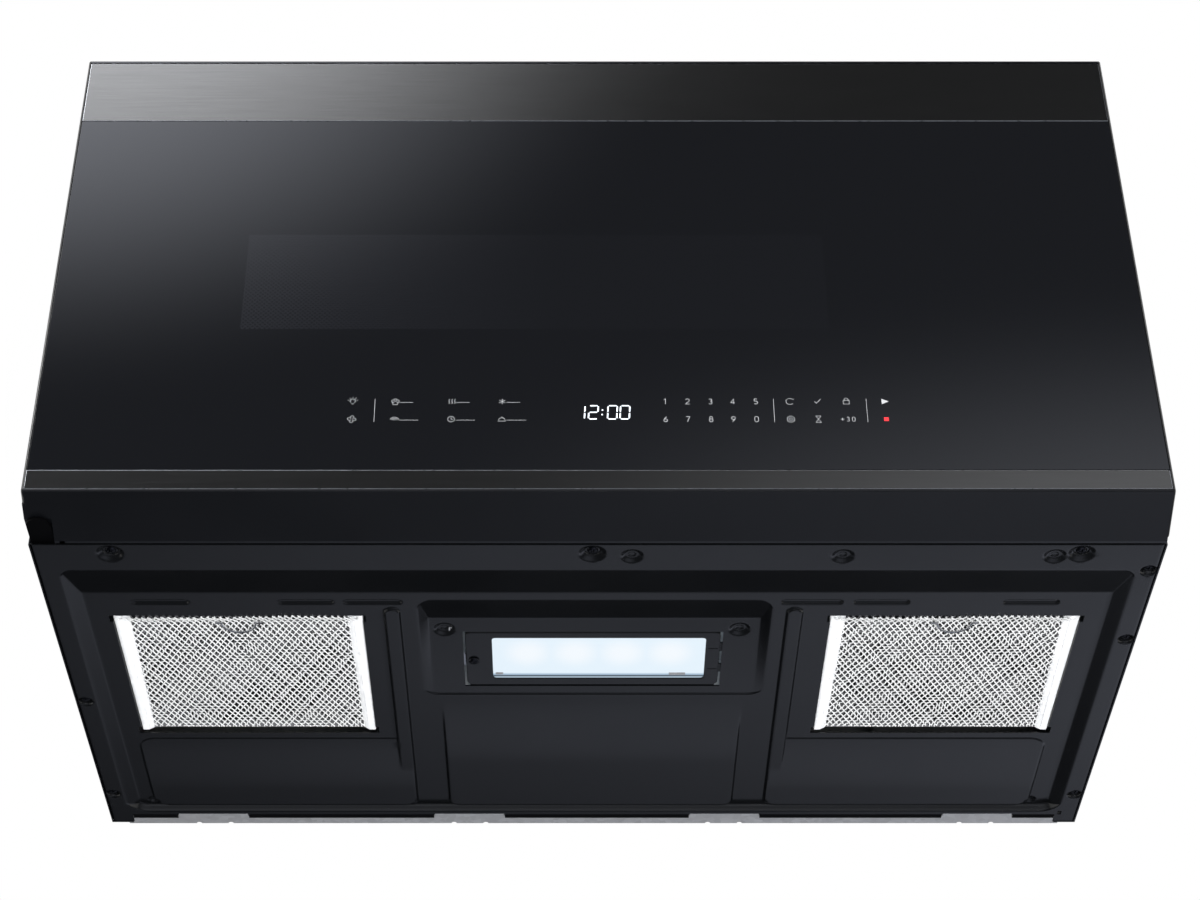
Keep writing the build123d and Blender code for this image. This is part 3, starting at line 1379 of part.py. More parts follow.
def latch_holes(outs):
    """Cut the two upright holes that the latch hooks move in."""
    for level in (latch_low, latch_high):
        block(
            (latch_x - latch_thickness / 2 - latch_room, latch_x + latch_thickness / 2 + latch_room), outs,
            (level - hook_barb - latch_room, level + latch_shank + latch_travel + latch_room), Mode.SUBTRACT,
        )


outer_x, outer_z = cavity_frame(choke_outer)
inner_x, inner_z = cavity_frame(-choke_inner)
groove_outer_x, groove_outer_z = cavity_frame(choke_outer - sheet)
groove_inner_x, groove_inner_z = cavity_frame(-choke_inner + sheet)

with BuildPart() as door_pan:
    block(
        (-pan_half, pan_half), pan_outs,
        (under_level(pan_outs[1]) + shell_wall + seat, door_top - shell_wall - seat),
    )
    with BuildSketch(Plane.XZ.offset(pan_rear_out)):
        with Locations((cavity_x, (cavity_floor + cavity_ceiling) / 2)):
            Rectangle(outer_x[1] - outer_x[0], outer_z[1] - outer_z[0])
            Rectangle(inner_x[1] - inner_x[0], inner_z[1] - inner_z[0], mode=Mode.SUBTRACT)
    extrude(amount=choke_depth)
    with BuildSketch(Plane.XZ.offset(pan_rear_out)):
        with Locations((cavity_x, (cavity_floor + cavity_ceiling) / 2)):
            Rectangle(groove_outer_x[1] - groove_outer_x[0], groove_outer_z[1] - groove_outer_z[0])
            Rectangle(
                groove_inner_x[1] - groove_inner_x[0], groove_inner_z[1] - groove_inner_z[0],
                mode=Mode.SUBTRACT,
            )
    extrude(amount=choke_depth - sheet, mode=Mode.SUBTRACT)
    block((window_left, window_right), pan_outs, (window_low, window_high), Mode.SUBTRACT)
    latch_holes(pan_outs)
    block(
        (-half_width, -half_width + arm_room_width), pan_outs, (0, arm_room_top + seat), Mode.SUBTRACT
    )
    block(
        (latch_x - anchor_width / 2, latch_x + anchor_width / 2),
        (pan_rear_out, pan_rear_out + anchor_width), (spring_anchor - sheet, spring_anchor),
    )
door_pan.part.label = "door_pan"
export_step(door_pan.part, "parts/door_pan.step")

window_x = (window_left - window_margin, window_right + window_margin)
window_z = (window_low - window_margin, window_high + window_margin)

with BuildPart() as window_screen:
    block(window_x, (pan_outs[1], pan_outs[1] + screen_thickness), window_z)
window_screen.part.label = "window_screen"
export_step(window_screen.part, "parts/window_screen.step")

with BuildPart() as inner_pane:
    block(window_x, (pan_rear_out - pane_thickness, pan_rear_out), window_z)
inner_pane.part.label = "inner_pane"
export_step(inner_pane.part, "parts/inner_pane.step")

with BuildPart() as choke_cover:
    cover_outer_x, cover_outer_z = cavity_frame(choke_outer + sheet)
    cover_inner_x, cover_inner_z = cavity_frame(-choke_cover_inset)
    with BuildSketch(Plane.XZ.offset(pan_rear_out - choke_cover_thickness)):
        with Locations((cavity_x, (cavity_floor + cavity_ceiling) / 2)):
            RectangleRounded(
                cover_outer_x[1] - cover_outer_x[0], cover_outer_z[1] - cover_outer_z[0],
                choke_cover_corner,
            )
            Rectangle(
                cover_inner_x[1] - cover_inner_x[0], cover_inner_z[1] - cover_inner_z[0],
                mode=Mode.SUBTRACT,
            )
    extrude(amount=choke_cover_thickness)
choke_cover.part.label = "choke_cover"
export_step(choke_cover.part, "parts/choke_cover.step")

# ---- Controls in the door: display module behind the glass and the touch circuit board --------
controls_x = 14.0
controls_level = door_lift + 66.5
display_x = 2.0
display_width = 76.0
display_height = 32.0
display_depth = 10.0
display_corner = 2.0
control_board_width = 330.0
control_board_height = 44.0
board_hole_inset = 7.0
board_hole_radius = 2.0
plug_width = 26.0
plug_depth = 4.0
plug_height = 16.0

with BuildPart() as display_module:
    block(
        (display_x - display_width / 2, display_x + display_width / 2),
        (panel_rear_out - display_depth, panel_rear_out),
        (controls_level - display_height / 2, controls_level + display_height / 2),
    )
    fillet(display_module.edges().filter_by(Axis.Y), display_corner)
display_module.part.label = "display_module"
export_step(display_module.part, "parts/display_module.step")

with BuildPart() as control_board:
    control_out = panel_rear_out - display_depth
    with BuildSketch(Plane.XZ.offset(control_out - board_thickness)):
        with Locations((controls_x, controls_level)):
            Rectangle(control_board_width, control_board_height)
            with GridLocations(
                control_board_width - 2 * board_hole_inset,
                control_board_height - 2 * board_hole_inset, 2, 2,
            ):
                Circle(board_hole_radius, mode=Mode.SUBTRACT)
    extrude(amount=board_thickness)
    plug_x = controls_x + control_board_width / 3
    with Locations((plug_x, -control_out + board_thickness, controls_level)):
        Box(plug_width, plug_depth, plug_height, align=(Align.CENTER, Align.MIN, Align.CENTER))
control_board.part.label = "control_board"
export_step(control_board.part, "parts/control_board.step")

# ---- Door latch: sprung bar inside the door with two hooks that reach through the face plate ---
latch_bar_near = pan_outs[1] + seat
latch_bar_width = 10.0
latch_bar_far = latch_bar_near + latch_bar_width
latch_bar_low = latch_low - latch_bar_width
latch_bar_high = latch_high + latch_shank + latch_bar_width
barb_length = 5.0
barb_chamfer = 2.0
latch_sides = (latch_x - latch_thickness / 2, latch_x + latch_thickness / 2)
spring_radius = 4.0
spring_wire = 0.6
spring_turns = 9

with BuildPart() as latch_bar:
    block(latch_sides, (latch_bar_near, latch_bar_far), (latch_bar_low, latch_bar_high))
    for level in (latch_low, latch_high):
        block(latch_sides, (hook_tip_out, latch_bar_near + sheet), (level, level + latch_shank))
        block(latch_sides, (hook_tip_out, hook_tip_out + barb_length), (level - hook_barb, level + sheet))
    chamfer(latch_bar.edges().filter_by(Axis.X).group_by(Axis.Y)[-1].group_by(Axis.Z)[0], barb_chamfer)
latch_bar.part.label = "latch_bar"
export_step(latch_bar.part, "parts/latch_bar.step")

with BuildPart() as latch_spring:
    spring_foot = spring_anchor + spring_wire
    spring_height = latch_bar_low - spring_foot - spring_wire
    spring_out = (latch_bar_near + latch_bar_far) / 2
    coil = Helix(
        pitch=spring_height / spring_turns, height=spring_height, radius=spring_radius,
        center=(latch_x, -spring_out, spring_foot), mode=Mode.PRIVATE,
    )
    with BuildSketch(Plane(origin=coil @ 0, z_dir=coil % 0)):
        Circle(spring_wire)
    sweep(path=coil)
latch_spring.part.label = "latch_spring"
export_step(latch_spring.part, "parts/latch_spring.step")
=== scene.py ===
"""Over the range microwave with a cooktop hood: the finishes and fine forms of its pieces.

Lengths are in millimetres until a mesh is made, and metres in Blender. +X is to the right as the
cook sees it, +Y goes into the wall, +Z up. "out" is how far a point lies in front of the wall.
"""

import math
import random

import bmesh
import bpy
import numpy as np
from mathutils import Matrix, Vector


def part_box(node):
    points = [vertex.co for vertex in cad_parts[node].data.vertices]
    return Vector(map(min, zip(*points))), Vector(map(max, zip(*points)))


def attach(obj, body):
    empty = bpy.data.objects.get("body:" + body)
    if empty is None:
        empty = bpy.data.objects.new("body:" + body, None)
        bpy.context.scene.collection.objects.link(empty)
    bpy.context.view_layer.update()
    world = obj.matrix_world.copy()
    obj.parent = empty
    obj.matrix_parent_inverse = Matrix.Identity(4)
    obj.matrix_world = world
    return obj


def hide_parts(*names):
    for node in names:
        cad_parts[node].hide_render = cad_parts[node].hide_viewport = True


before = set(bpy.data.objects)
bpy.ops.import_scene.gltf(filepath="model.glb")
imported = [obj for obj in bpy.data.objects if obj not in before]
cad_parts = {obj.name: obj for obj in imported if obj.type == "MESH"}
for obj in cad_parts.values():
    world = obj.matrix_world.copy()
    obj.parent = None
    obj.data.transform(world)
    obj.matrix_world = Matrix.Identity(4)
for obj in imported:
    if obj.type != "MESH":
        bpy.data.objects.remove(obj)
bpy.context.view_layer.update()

# ---- Wall plate -----------------------------------------------------------------------------
# A folded sheet of cold rolled steel, zinc plated, punched and screwed to the studs. The oven
# hangs on its hooks, and only the plate's bottom ledge shows under the oven.
mm = 0.001


def linear(code):
    """The linear colour of an sRGB hex code."""
    parts = [int(code[i:i + 2], 16) / 255 for i in (0, 2, 4)]
    return [c / 12.92 if c <= 0.04045 else ((c + 0.055) / 1.055) ** 2.4 for c in parts] + [1.0]


def add(tree, kind, settings=None, links=None):
    """Adds a shader node: settings are its properties and input values, links its sources."""
    node = tree.nodes.new("ShaderNode" + kind)
    for name, value in (settings or {}).items():
        if isinstance(name, str) and name in node.bl_rna.properties:
            setattr(node, name, value)
        else:
            node.inputs[name].default_value = value
    for name, source in (links or {}).items():
        tree.links.new(source, node.inputs[name])
    return node


def new_finish(name, settings):
    """A material whose one shader has these values on its own sockets."""
    finish = bpy.data.materials.new(name)
    finish.use_nodes = True
    shader = finish.node_tree.nodes["Principled BSDF"]
    for socket, value in settings.items():
        shader.inputs[socket].default_value = value
    return finish, finish.node_tree, shader


def break_edges(part, edge):
    """Rounds a part's sharp edges by a radius in millimetres."""
    joined = part.modifiers.new("joined_faces", "WELD")
    joined.merge_threshold = 0.01 * mm
    broken = part.modifiers.new("broken_edges", "BEVEL")
    broken.width = edge * mm
    broken.segments = 2
    broken.limit_method = "ANGLE"
    broken.angle_limit = math.radians(40)
    broken.harden_normals = True


def dress(node, finish, edge=0.3):
    """Gives a CAD node its finish and breaks its sharp edges."""
    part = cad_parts[node]
    for holder in part.material_slots:
        holder.material = finish
    if edge:
        break_edges(part, edge)


# Zinc crystals (spangle) about 5 mm across turn the light a little, each its own way.
zinc_plated, tree, shader = new_finish(
    "zinc_plated_steel_rolled", {"Metallic": 0.7, "Roughness": 0.45}
)
place = add(tree, "TexCoord").outputs["Object"]
spangle = add(tree, "TexVoronoi", {"Scale": 1 / (5 * mm), "Randomness": 1.0}, {"Vector": place})
crystal = add(tree, "SeparateColor", links={"Color": spangle.outputs["Color"]})
zinc_tone = add(
    tree, "Mix", {"data_type": "RGBA", 6: linear("bbbcbf"), 7: linear("cbcccf")},
    {0: crystal.outputs["Red"]},
)
grain = add(tree, "TexNoise", {"Scale": 1 / (0.8 * mm), "Detail": 3.0}, {"Vector": place})
rolled = add(tree, "Bump", {"Strength": 0.12, "Distance": 0.05 * mm}, {"Height": grain.outputs[0]})
zinc_gloss = add(
    tree, "MapRange", {"To Min": 0.38, "To Max": 0.52}, {"Value": crystal.outputs["Green"]}
)
tree.links.new(zinc_tone.outputs[2], shader.inputs["Base Color"])
tree.links.new(zinc_gloss.outputs[0], shader.inputs["Roughness"])
tree.links.new(rolled.outputs[0], shader.inputs["Normal"])
dress("wall_plate", zinc_plated, edge=0.25)

# ---- Outer wrap and back panel --------------------------------------------------------------
# One sheet of 1 mm steel folded over the top and both sides, powder coated black after folding.
# The back panel is a bare zinc-plated sheet inside the wrap's rear returns.


def orange_peel(tree, shader, tone_low, tone_high, grain_mm, depth_mm, gloss):
    """Sprayed and baked coat: small waves from the powder, with a faint cloud in its tone."""
    place = add(tree, "TexCoord").outputs["Object"]
    waves = add(tree, "TexNoise", {"Scale": 1 / (grain_mm * mm), "Detail": 2.0}, {"Vector": place})
    cloud = add(tree, "TexNoise", {"Scale": 1 / (60 * mm), "Detail": 3.0}, {"Vector": place})
    tone = add(
        tree, "Mix", {"data_type": "RGBA", 6: linear(tone_low), 7: linear(tone_high)},
        {0: cloud.outputs[0]},
    )
    sheen = add(tree, "MapRange", {"To Min": gloss[0], "To Max": gloss[1]}, {"Value": cloud.outputs[0]})
    peel = add(
        tree, "Bump", {"Strength": 0.25, "Distance": depth_mm * mm}, {"Height": waves.outputs[0]}
    )
    tree.links.new(tone.outputs[2], shader.inputs["Base Color"])
    tree.links.new(sheen.outputs[0], shader.inputs["Roughness"])
    tree.links.new(peel.outputs[0], shader.inputs["Normal"])


# The powder's waves are about 0.4 mm apart. They are drawn 1 mm apart, or they would not show.
powder_coat, tree, shader = new_finish(
    "black_powder_coat_on_steel", {"Metallic": 0.0, "IOR": 1.5}
)
orange_peel(tree, shader, "060708", "0a0b0d", grain_mm=1.0, depth_mm=0.015, gloss=(0.20, 0.25))
dress("outer_wrap", powder_coat, edge=0.5)
dress("back_panel", zinc_plated, edge=0.2)

# ---- Cord grommet ---------------------------------------------------------------------------
# A ring of black nylon, moulded in one piece. It snaps into the top panel and takes the sharp edge
# off the hole there.

# Moulded nylon is dull and a little uneven, so its highlights are soft.
black_nylon, tree, shader = new_finish("black_nylon_moulded", {"IOR": 1.53, "Roughness": 0.5})
orange_peel(tree, shader, "111215", "17181b", grain_mm=0.7, depth_mm=0.04, gloss=(0.46, 0.58))
dress("cord_grommet", black_nylon, edge=0.4)

# ---- Oven cavity and face plate -------------------------------------------------------------
# Folded and welded steel box, grey enamel inside with dark specks fired into it. The face plate
# round its mouth is coated black with the case.

# Fired enamel is glassy, with a slow ripple in its highlights and dark specks 3.5 mm apart.
enamel, tree, shader = new_finish("grey_enamel_fired", {"IOR": 1.5, "Roughness": 0.22})
place = add(tree, "TexCoord").outputs["Object"]
fleck = add(tree, "TexVoronoi", {"Scale": 1 / (3.5 * mm), "Randomness": 1.0}, {"Vector": place})
speck = add(tree, "Math", {"operation": "LESS_THAN", 1: 0.16}, {0: fleck.outputs["Distance"]})
enamel_tone = add(
    tree, "Mix", {"data_type": "RGBA", 6: linear("a9abad"), 7: linear("4b4d50")},
    {0: speck.outputs[0]},
)
melt = add(tree, "TexNoise", {"Scale": 1 / (4 * mm), "Detail": 2.0}, {"Vector": place})
fired = add(tree, "Bump", {"Strength": 0.15, "Distance": 0.1 * mm}, {"Height": melt.outputs[0]})
tree.links.new(enamel_tone.outputs[2], shader.inputs["Base Color"])
tree.links.new(fired.outputs[0], shader.inputs["Normal"])
dress("oven_cavity", enamel, edge=0.4)
dress("face_plate", powder_coat, edge=0.3)

# ---- Base plate -----------------------------------------------------------------------------
# A deep-drawn pan of 1 mm steel, coated black, that closes the case from below. The press gives
# it a recess, a sloping lamp pocket, stiffening panels, grooves and dimples, all with soft bends.
sheet = 1.0
plate_low, plate_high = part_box("base_plate")
plate_half = plate_high.x / mm
plate_front = -plate_low.y / mm
plate_rear = 14.2
corner_rear = -plate_high.y / mm
press_bend = 1.6
edge_curl, front_curl_lead = 1.6, 1.2

# The recess all over the plate, and the lamp's pocket in it, which is deeper at the front.
recess_depth = 6.0
recess_half, recess_front, recess_rear = 365.0, 358.0, 18.3
recess_front_radius, recess_rear_radius = 12.0, 18.0
recess_side_run, recess_front_run, recess_rear_run = 10.9, 38.0, 3.4
pocket_left, pocket_right = -125.7, 122.9
pocket_front, pocket_rear = 312.4, 185.1
pocket_front_radius, pocket_rear_radius = 15.0, 12.0
pocket_side_run, pocket_front_run, pocket_rear_run = 8.5, 32.0, 2.0
pocket_front_depth, pocket_rear_depth = 5.0, 0.8

# Stiffening panels and strips stand out of the recess, and grooves are sunk in its front part.
panel_rise, panel_rear, panel_wall, panel_lead, panel_bend = 2.3, 21.4, 2.0, 0.2, 0.4
centre_left, centre_right, centre_front, centre_radius, centre_slope = -112.9, 108.2, 176.0, 9.0, 85.0
broad_left_ends, broad_right_ends = (136.7, 343.5), (132.0, 340.0)
broad_front, broad_radius, broad_slope, broad_least = 123.5, 13.0, 75.0, 0.25
strip_width, strip_front, strip_radius, strip_wall, strip_share = 12.0, 302.0, 5.9, 1.8, 0.75
left_grooves = ((282.405, 322.605), (181.905, 221.1), (134.67, 175.875))
right_grooves = ((127.635, 170.85), (177.885, 217.08), (281.4, 320.595))
groove_rear, groove_front, groove_radius, groove_depth, groove_wall = 305.6, 311.9, 3.1, 1.6, 2.2
groove_lead = 0.15

# What is cut out: two filter ports, the lamp's opening, and notches for the wall plate's hooks.
filter_x, filter_out, filter_width, filter_length, port_gap = 251.0, 211.0, 174.0, 156.0, 2.7
lamp_x, lamp_out, cover_width = -2.4, 228.8, 181.6
cover_front, cover_rear, cover_gap = 262.6, 197.4, 1.6
ledge_half = 361.8
hook_places = (-298.5, -97.5, 102.5, 301.0)
hook_reach, hook_out = 27.3, 15.5

# Each kind of dimple: its places, radius, width of wall, radius of the seat in it, and both depths.
front_screws = ((-326.5, 377.0), (-3.5, 377.0), (324.0, 377.0))
side_screws = ((-372.5, 185.0), (-372.5, 47.0), (372.5, 356.5), (372.5, 270.0), (372.5, 46.0))
blank_dimples = ((23.0, 374.0), (164.5, 374.0), (306.5, 374.0))
pocket_dimples = ((-107.4, 267.4), (101.3, 267.4))
corner_dimples = ((-343.5, 28.0), (341.0, 28.0))
screw_depth, screw_seat = 2.2, 1.8
blank_depth, blank_seat = 1.7, 0.5
dimple_bend, seat_bend, seat_wall = 0.45, 0.3, 0.9
dimple_kinds = (
    (front_screws, 10.2, 5.2, 5.4, screw_depth, screw_seat),
    (side_screws, 6.4, 3.0, 4.9, screw_depth, screw_seat),
    (blank_dimples, 8.6, 4.6, 2.8, blank_depth, blank_seat),
    (pocket_dimples, 8.4, 4.4, 2.9, blank_depth, blank_seat),
    (corner_dimples, 5.2, 3.0, 2.4, blank_depth, blank_seat),
)


def inside(x, out, left, right, rear, front, radius):
    """How far inside a rounded rectangle each point lies; negative outside it."""
    along = np.abs(x - (left + right) / 2) - ((right - left) / 2 - radius)
    across = np.abs(out - (rear + front) / 2) - ((front - rear) / 2 - radius)
    beyond = np.hypot(np.maximum(along, 0), np.maximum(across, 0))
    return radius - beyond - np.minimum(np.maximum(along, across), 0)


def bent(share, corner):
    """A straight wall from 0 to 1 whose two ends are rounded over the corner's share of it."""
    share = np.clip(share, 0, 1)
    corner = np.clip(corner, 0.02, 0.5)
    slope = 1 / (1 - corner)
    start = slope * share ** 2 / (2 * corner)
    end = 1 - slope * (1 - share) ** 2 / (2 * corner)
    middle = slope * (share - corner / 2)
    return np.where(share < corner, start, np.where(share > 1 - corner, end, middle))


def eased(share):
    """A share from 0 to 1 that starts and ends gently."""
    share = np.clip(share, 0, 1)
    return share * share * (3 - 2 * share)


def drawn_walls(x, out, edges, runs, corners):
    """The share of its depth that a drawn recess has: three sloping walls and a steep rear one."""
    left, right, rear, front = edges
    side_run, front_run, rear_run = runs
    side_wall = bent(np.minimum(x - left, right - x) / side_run, press_bend / side_run)
    front_wall = bent((front - out) / front_run, press_bend / front_run)
    radius = np.where(out > (rear + front) / 2, corners[0], corners[1])
    rim_bend, mitre = 0.3, 0.12
    rim = bent(inside(x, out, left, right, rear, front, radius) / rear_run, rim_bend)
    nearness = np.clip(0.5 + (front_wall - side_wall) / mitre, 0, 1)
    sloped = front_wall + (side_wall - front_wall) * nearness - mitre / 2 * nearness * (1 - nearness)
    return np.clip(np.minimum(sloped, rim), 0, 1)


def sheet_level(x, out):
    """The height of the plate's lower face."""
    level = recess_depth * drawn_walls(
        x, out, (-recess_half, recess_half, recess_rear, recess_front),
        (recess_side_run, recess_front_run, recess_rear_run), (recess_front_radius, recess_rear_radius),
    )
    lamp_front, lamp_rear = pocket_front - pocket_front_run, pocket_rear + pocket_rear_run
    fall = np.clip((out - lamp_rear) / (lamp_front - lamp_rear), 0, 1)
    pocket_depth = pocket_rear_depth + (pocket_front_depth - pocket_rear_depth) * fall
    level = level + pocket_depth * drawn_walls(
        x, out, (pocket_left, pocket_right, pocket_rear, pocket_front),
        (pocket_side_run, pocket_front_run, pocket_rear_run), (pocket_front_radius, pocket_rear_radius),
    )

    centre = inside(x, out, centre_left, centre_right, panel_rear, centre_front, centre_radius)
    rise = eased((centre_front - out) / centre_slope)
    level = level - panel_rise * rise * bent(centre / panel_wall + panel_lead, panel_bend)
    for side, ends, grooves in (
        (-1, broad_left_ends, left_grooves), (1, broad_right_ends, right_grooves),
    ):
        across = side * x
        inner, outer = ends
        broad = inside(across, out, inner, outer, panel_rear, broad_front, broad_radius)
        strip = inside(across, out, inner, inner + strip_width, panel_rear, strip_front, strip_radius)
        rise = broad_least + (1 - broad_least) * eased((broad_front - out) / broad_slope)
        broad_rise = rise * bent(broad / panel_wall + panel_lead, panel_bend)
        strip_rise = strip_share * bent(strip / strip_wall + panel_lead, panel_bend)
        level = level - panel_rise * np.maximum(broad_rise, strip_rise)
        for near, far in grooves:
            groove = inside(across, out, near, far, groove_rear, groove_front, groove_radius)
            level = level + groove_depth * bent(groove / groove_wall + groove_lead, panel_bend)

    for places, radius, wall, seat_radius, depth, seat_depth in dimple_kinds:
        for centre_x, centre_out in places:
            reach = np.hypot(x - centre_x, out - centre_out)
            level = level + depth * bent((radius - reach) / wall, dimple_bend)
            level = level + seat_depth * bent((seat_radius - reach) / seat_wall, seat_bend)

    edge = np.minimum(plate_half - np.abs(x), plate_front - out + front_curl_lead)
    curled = np.maximum(edge_curl - edge, 0)
    return level + edge_curl - np.sqrt(np.maximum(edge_curl ** 2 - curled ** 2, 0))


def grid_lines(start, end, coarse, fine, bends, holes):
    """Grid lines from edge to edge, close together near the bends and exactly on hole edges."""
    bend_reach, hole_reach = 8.0, 0.4
    marks = [start]
    while marks[-1] < end:
        near = min(abs(marks[-1] - place) for place in bends)
        marks.append(marks[-1] + (fine if near < bend_reach else coarse))
    marks = np.array(marks[:-1] + [end])
    clear = [mark for mark in marks if min(abs(mark - hole) for hole in holes) > hole_reach]
    return np.unique(np.concatenate([clear, holes, [start, end]]))


def new_piece(name, points, faces, finishes, smooth=True):
    """A mesh from points in millimetres, with its finishes."""
    mesh = bpy.data.meshes.new(name)
    mesh.from_pydata((np.asarray(points, float) * mm).tolist(), [], [list(face) for face in faces])
    mesh.polygons.foreach_set("use_smooth", [smooth] * len(mesh.polygons))
    for finish in finishes:
        mesh.materials.append(finish)
    piece = bpy.data.objects.new(name, mesh)
    bpy.context.scene.collection.objects.link(piece)
    return piece


ports = [
    (side * filter_x - filter_width / 2 - port_gap, side * filter_x + filter_width / 2 + port_gap,
     filter_out - filter_length / 2 - port_gap, filter_out + filter_length / 2 + port_gap)
    for side in (-1, 1)
]
lamp_opening = (
    lamp_x - cover_width / 2 - cover_gap, lamp_x + cover_width / 2 + cover_gap,
    cover_rear - cover_gap, cover_front + cover_gap,
)

# A narrow slit at the right rear corner, and the notches for the ledge and its hooks.
rear_slot = (363.5, 366.5, plate_rear, 20.0)
rear_notches = [(-ledge_half, ledge_half, 0.0, plate_rear)] + [
    (x - hook_reach, x + hook_reach, 0.0, hook_out) for x in hook_places
]
openings = ports + [lamp_opening, rear_slot] + rear_notches
hole_x = sorted({edge for opening in openings for edge in opening[:2]})
hole_out = sorted({edge for opening in openings for edge in opening[2:] if edge > corner_rear})

# Where the sheet is bent the mesh has twice as many lines, so the bends stay soft.
coarse_step, fine_step = 3.2, 1.6
bend_places = (371, 360, 342, 325, 305, 281, 218, 179, 165, 141, 123, 110)
bend_x = [side * place for side in (-1, 1) for place in bend_places] + [-3.5, 23]
bend_out = [378, 366, 358, 319, 308, 296, 282, 267, 187, 176, 123, 47, 30, 24, 20]
line_x = grid_lines(-plate_half, plate_half, coarse_step, fine_step, bend_x, hole_x)
line_out = grid_lines(corner_rear, plate_front, coarse_step, fine_step, bend_out, hole_out)
grid_x, grid_out = np.meshgrid(line_x, line_out, indexing="ij")
grid_z = sheet_level(grid_x, grid_out)
middle_x = (line_x[1:] + line_x[:-1])[:, None] / 2
middle_out = (line_out[1:] + line_out[:-1])[None, :] / 2
solid = np.ones((len(line_x) - 1, len(line_out) - 1), bool)
for left, right, rear, front in openings:
    solid &= ~((middle_x > left) & (middle_x < right) & (middle_out > rear) & (middle_out < front))
rows = len(line_out)
points = np.stack([grid_x.ravel(), -grid_out.ravel(), grid_z.ravel()], axis=1)
column, row = np.nonzero(solid)
corner = column * rows + row
faces = np.stack([corner, corner + 1, corner + rows + 1, corner + rows], axis=1)
used = np.unique(faces)
renumber = np.zeros(len(points), int)
renumber[used] = np.arange(len(used))
base_plate = new_piece("base_plate_pressed", points[used], renumber[faces], [powder_coat])

# Where the plate bends within a cell, the cell is cut in four, twice over.
for tolerance in (0.035, 0.02):
    pressed = bmesh.new()
    pressed.from_mesh(base_plate.data)
    quads = [face for face in pressed.faces if len(face.verts) == 4]
    corners = np.array([[corner.co[:] for corner in face.verts] for face in quads]) / mm
    middle = corners.mean(axis=1)
    sides = (corners + np.roll(corners, 1, axis=1)) / 2
    off_middle = np.abs(sheet_level(middle[:, 0], -middle[:, 1]) - middle[:, 2])
    off_sides = np.abs(sheet_level(sides[:, :, 0], -sides[:, :, 1]) - sides[:, :, 2]).max(axis=1)
    bent_quads = [face for face, off in zip(quads, np.maximum(off_middle, off_sides)) if off > tolerance]
    edges = list({edge for face in bent_quads for edge in face.edges})
    bmesh.ops.subdivide_edges(pressed, edges=edges, cuts=1, use_grid_fill=True)
    places = np.array([corner.co[:] for corner in pressed.verts]) / mm
    for corner, level in zip(pressed.verts, sheet_level(places[:, 0], -places[:, 1])):
        corner.co.z = level * mm
    for face in pressed.faces:
        face.smooth = True
    pressed.to_mesh(base_plate.data)
    pressed.free()
thickness = base_plate.modifiers.new("sheet", "SOLIDIFY")
thickness.thickness = sheet * mm
thickness.offset = 1.0
crisp = base_plate.modifiers.new("cut_edges", "EDGE_SPLIT")
crisp.split_angle = math.radians(38)
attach(base_plate, "housing")
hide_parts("base_plate")

# ---- Filter guides --------------------------------------------------------------------------
# Flanges of the base plate's own sheet, sheared at the side edges of the two ports and folded up.
# Each filter slides between a pair of them, and they are coated black with the plate.
guide_length, guide_top, guide_gap, guide_edge = 145.0, 16.0, 0.4, 0.25


def slab(points, faces, x, out, z):
    """Adds a block's corners and sides to a list of points and faces."""
    first = len(points)
    points.extend((a, -b, c) for c in z for b in out for a in x)
    sides = ((0, 1, 3, 2), (4, 6, 7, 5), (0, 4, 5, 1), (2, 3, 7, 6), (0, 2, 6, 4), (1, 5, 7, 3))
    faces.extend(tuple(first + corner for corner in side) for side in sides)


points, faces = [], []
for side in (-1, 1):
    for hand in (-1, 1):
        near = side * filter_x + hand * (filter_width / 2 + guide_gap)
        far = side * filter_x + hand * (filter_width / 2 + port_gap + sheet)
        slab(
            points, faces, (near, far), (filter_out - guide_length / 2, filter_out + guide_length / 2),
            (recess_depth, guide_top),
        )
filter_guides = new_piece("filter_guides", points, faces, [powder_coat], smooth=False)
softened = filter_guides.modifiers.new("sheared_edges", "BEVEL")
softened.width = guide_edge * mm
softened.segments = 2
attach(filter_guides, "housing")
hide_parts("base_plate")

# ---- Rear gap shade -------------------------------------------------------------------------
# Near-black strips on the lip of the wall plate's ledge, between the hooks: painted shade that fills
# the gap to the base plate, so it shows as a black line.

# The painted gap shade is nearly black and rough, with no highlight.
painted_gap_shade, tree, shader = new_finish("painted_gap_shade_black", {"Roughness": 0.9, "IOR": 1.3})
orange_peel(tree, shader, "010102", "060607", grain_mm=0.8, depth_mm=0.1, gloss=(0.85, 0.95))
gap_shade_out, gap_shade_level, gap_shade_inset = (9.3, 14.0), (-0.3, 1.2), 0.5
hook_ends = [edge for x in hook_places for edge in (x - hook_reach, x + hook_reach)]
gap_shade_ends = [-ledge_half] + hook_ends + [ledge_half]
points, faces = [], []
for left, right in zip(gap_shade_ends[0::2], gap_shade_ends[1::2]):
    slab(points, faces, (left + gap_shade_inset, right - gap_shade_inset), gap_shade_out, gap_shade_level)
rear_gap_shade = new_piece("rear_gap_shade_strip", points, faces, [painted_gap_shade], smooth=False)
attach(rear_gap_shade, "housing")

# ---- Base screws and lamp screw -------------------------------------------------------------
# Cold-headed steel screws, blackened: a low dome with a cross recess, and a rolled thread. Eight
# hold the base plate, and one holds the lamp's cover to its spring clip.
head_radius, head_height, shank_radius, shank_length = 3.8, 2.2, 1.9, 9.0
cross_depth, cross_half, cross_reach, thread_depth = 1.2, 0.7, 2.2, 0.35
dome_share, cross_flank, cross_end = 0.6, 0.3, 0.5


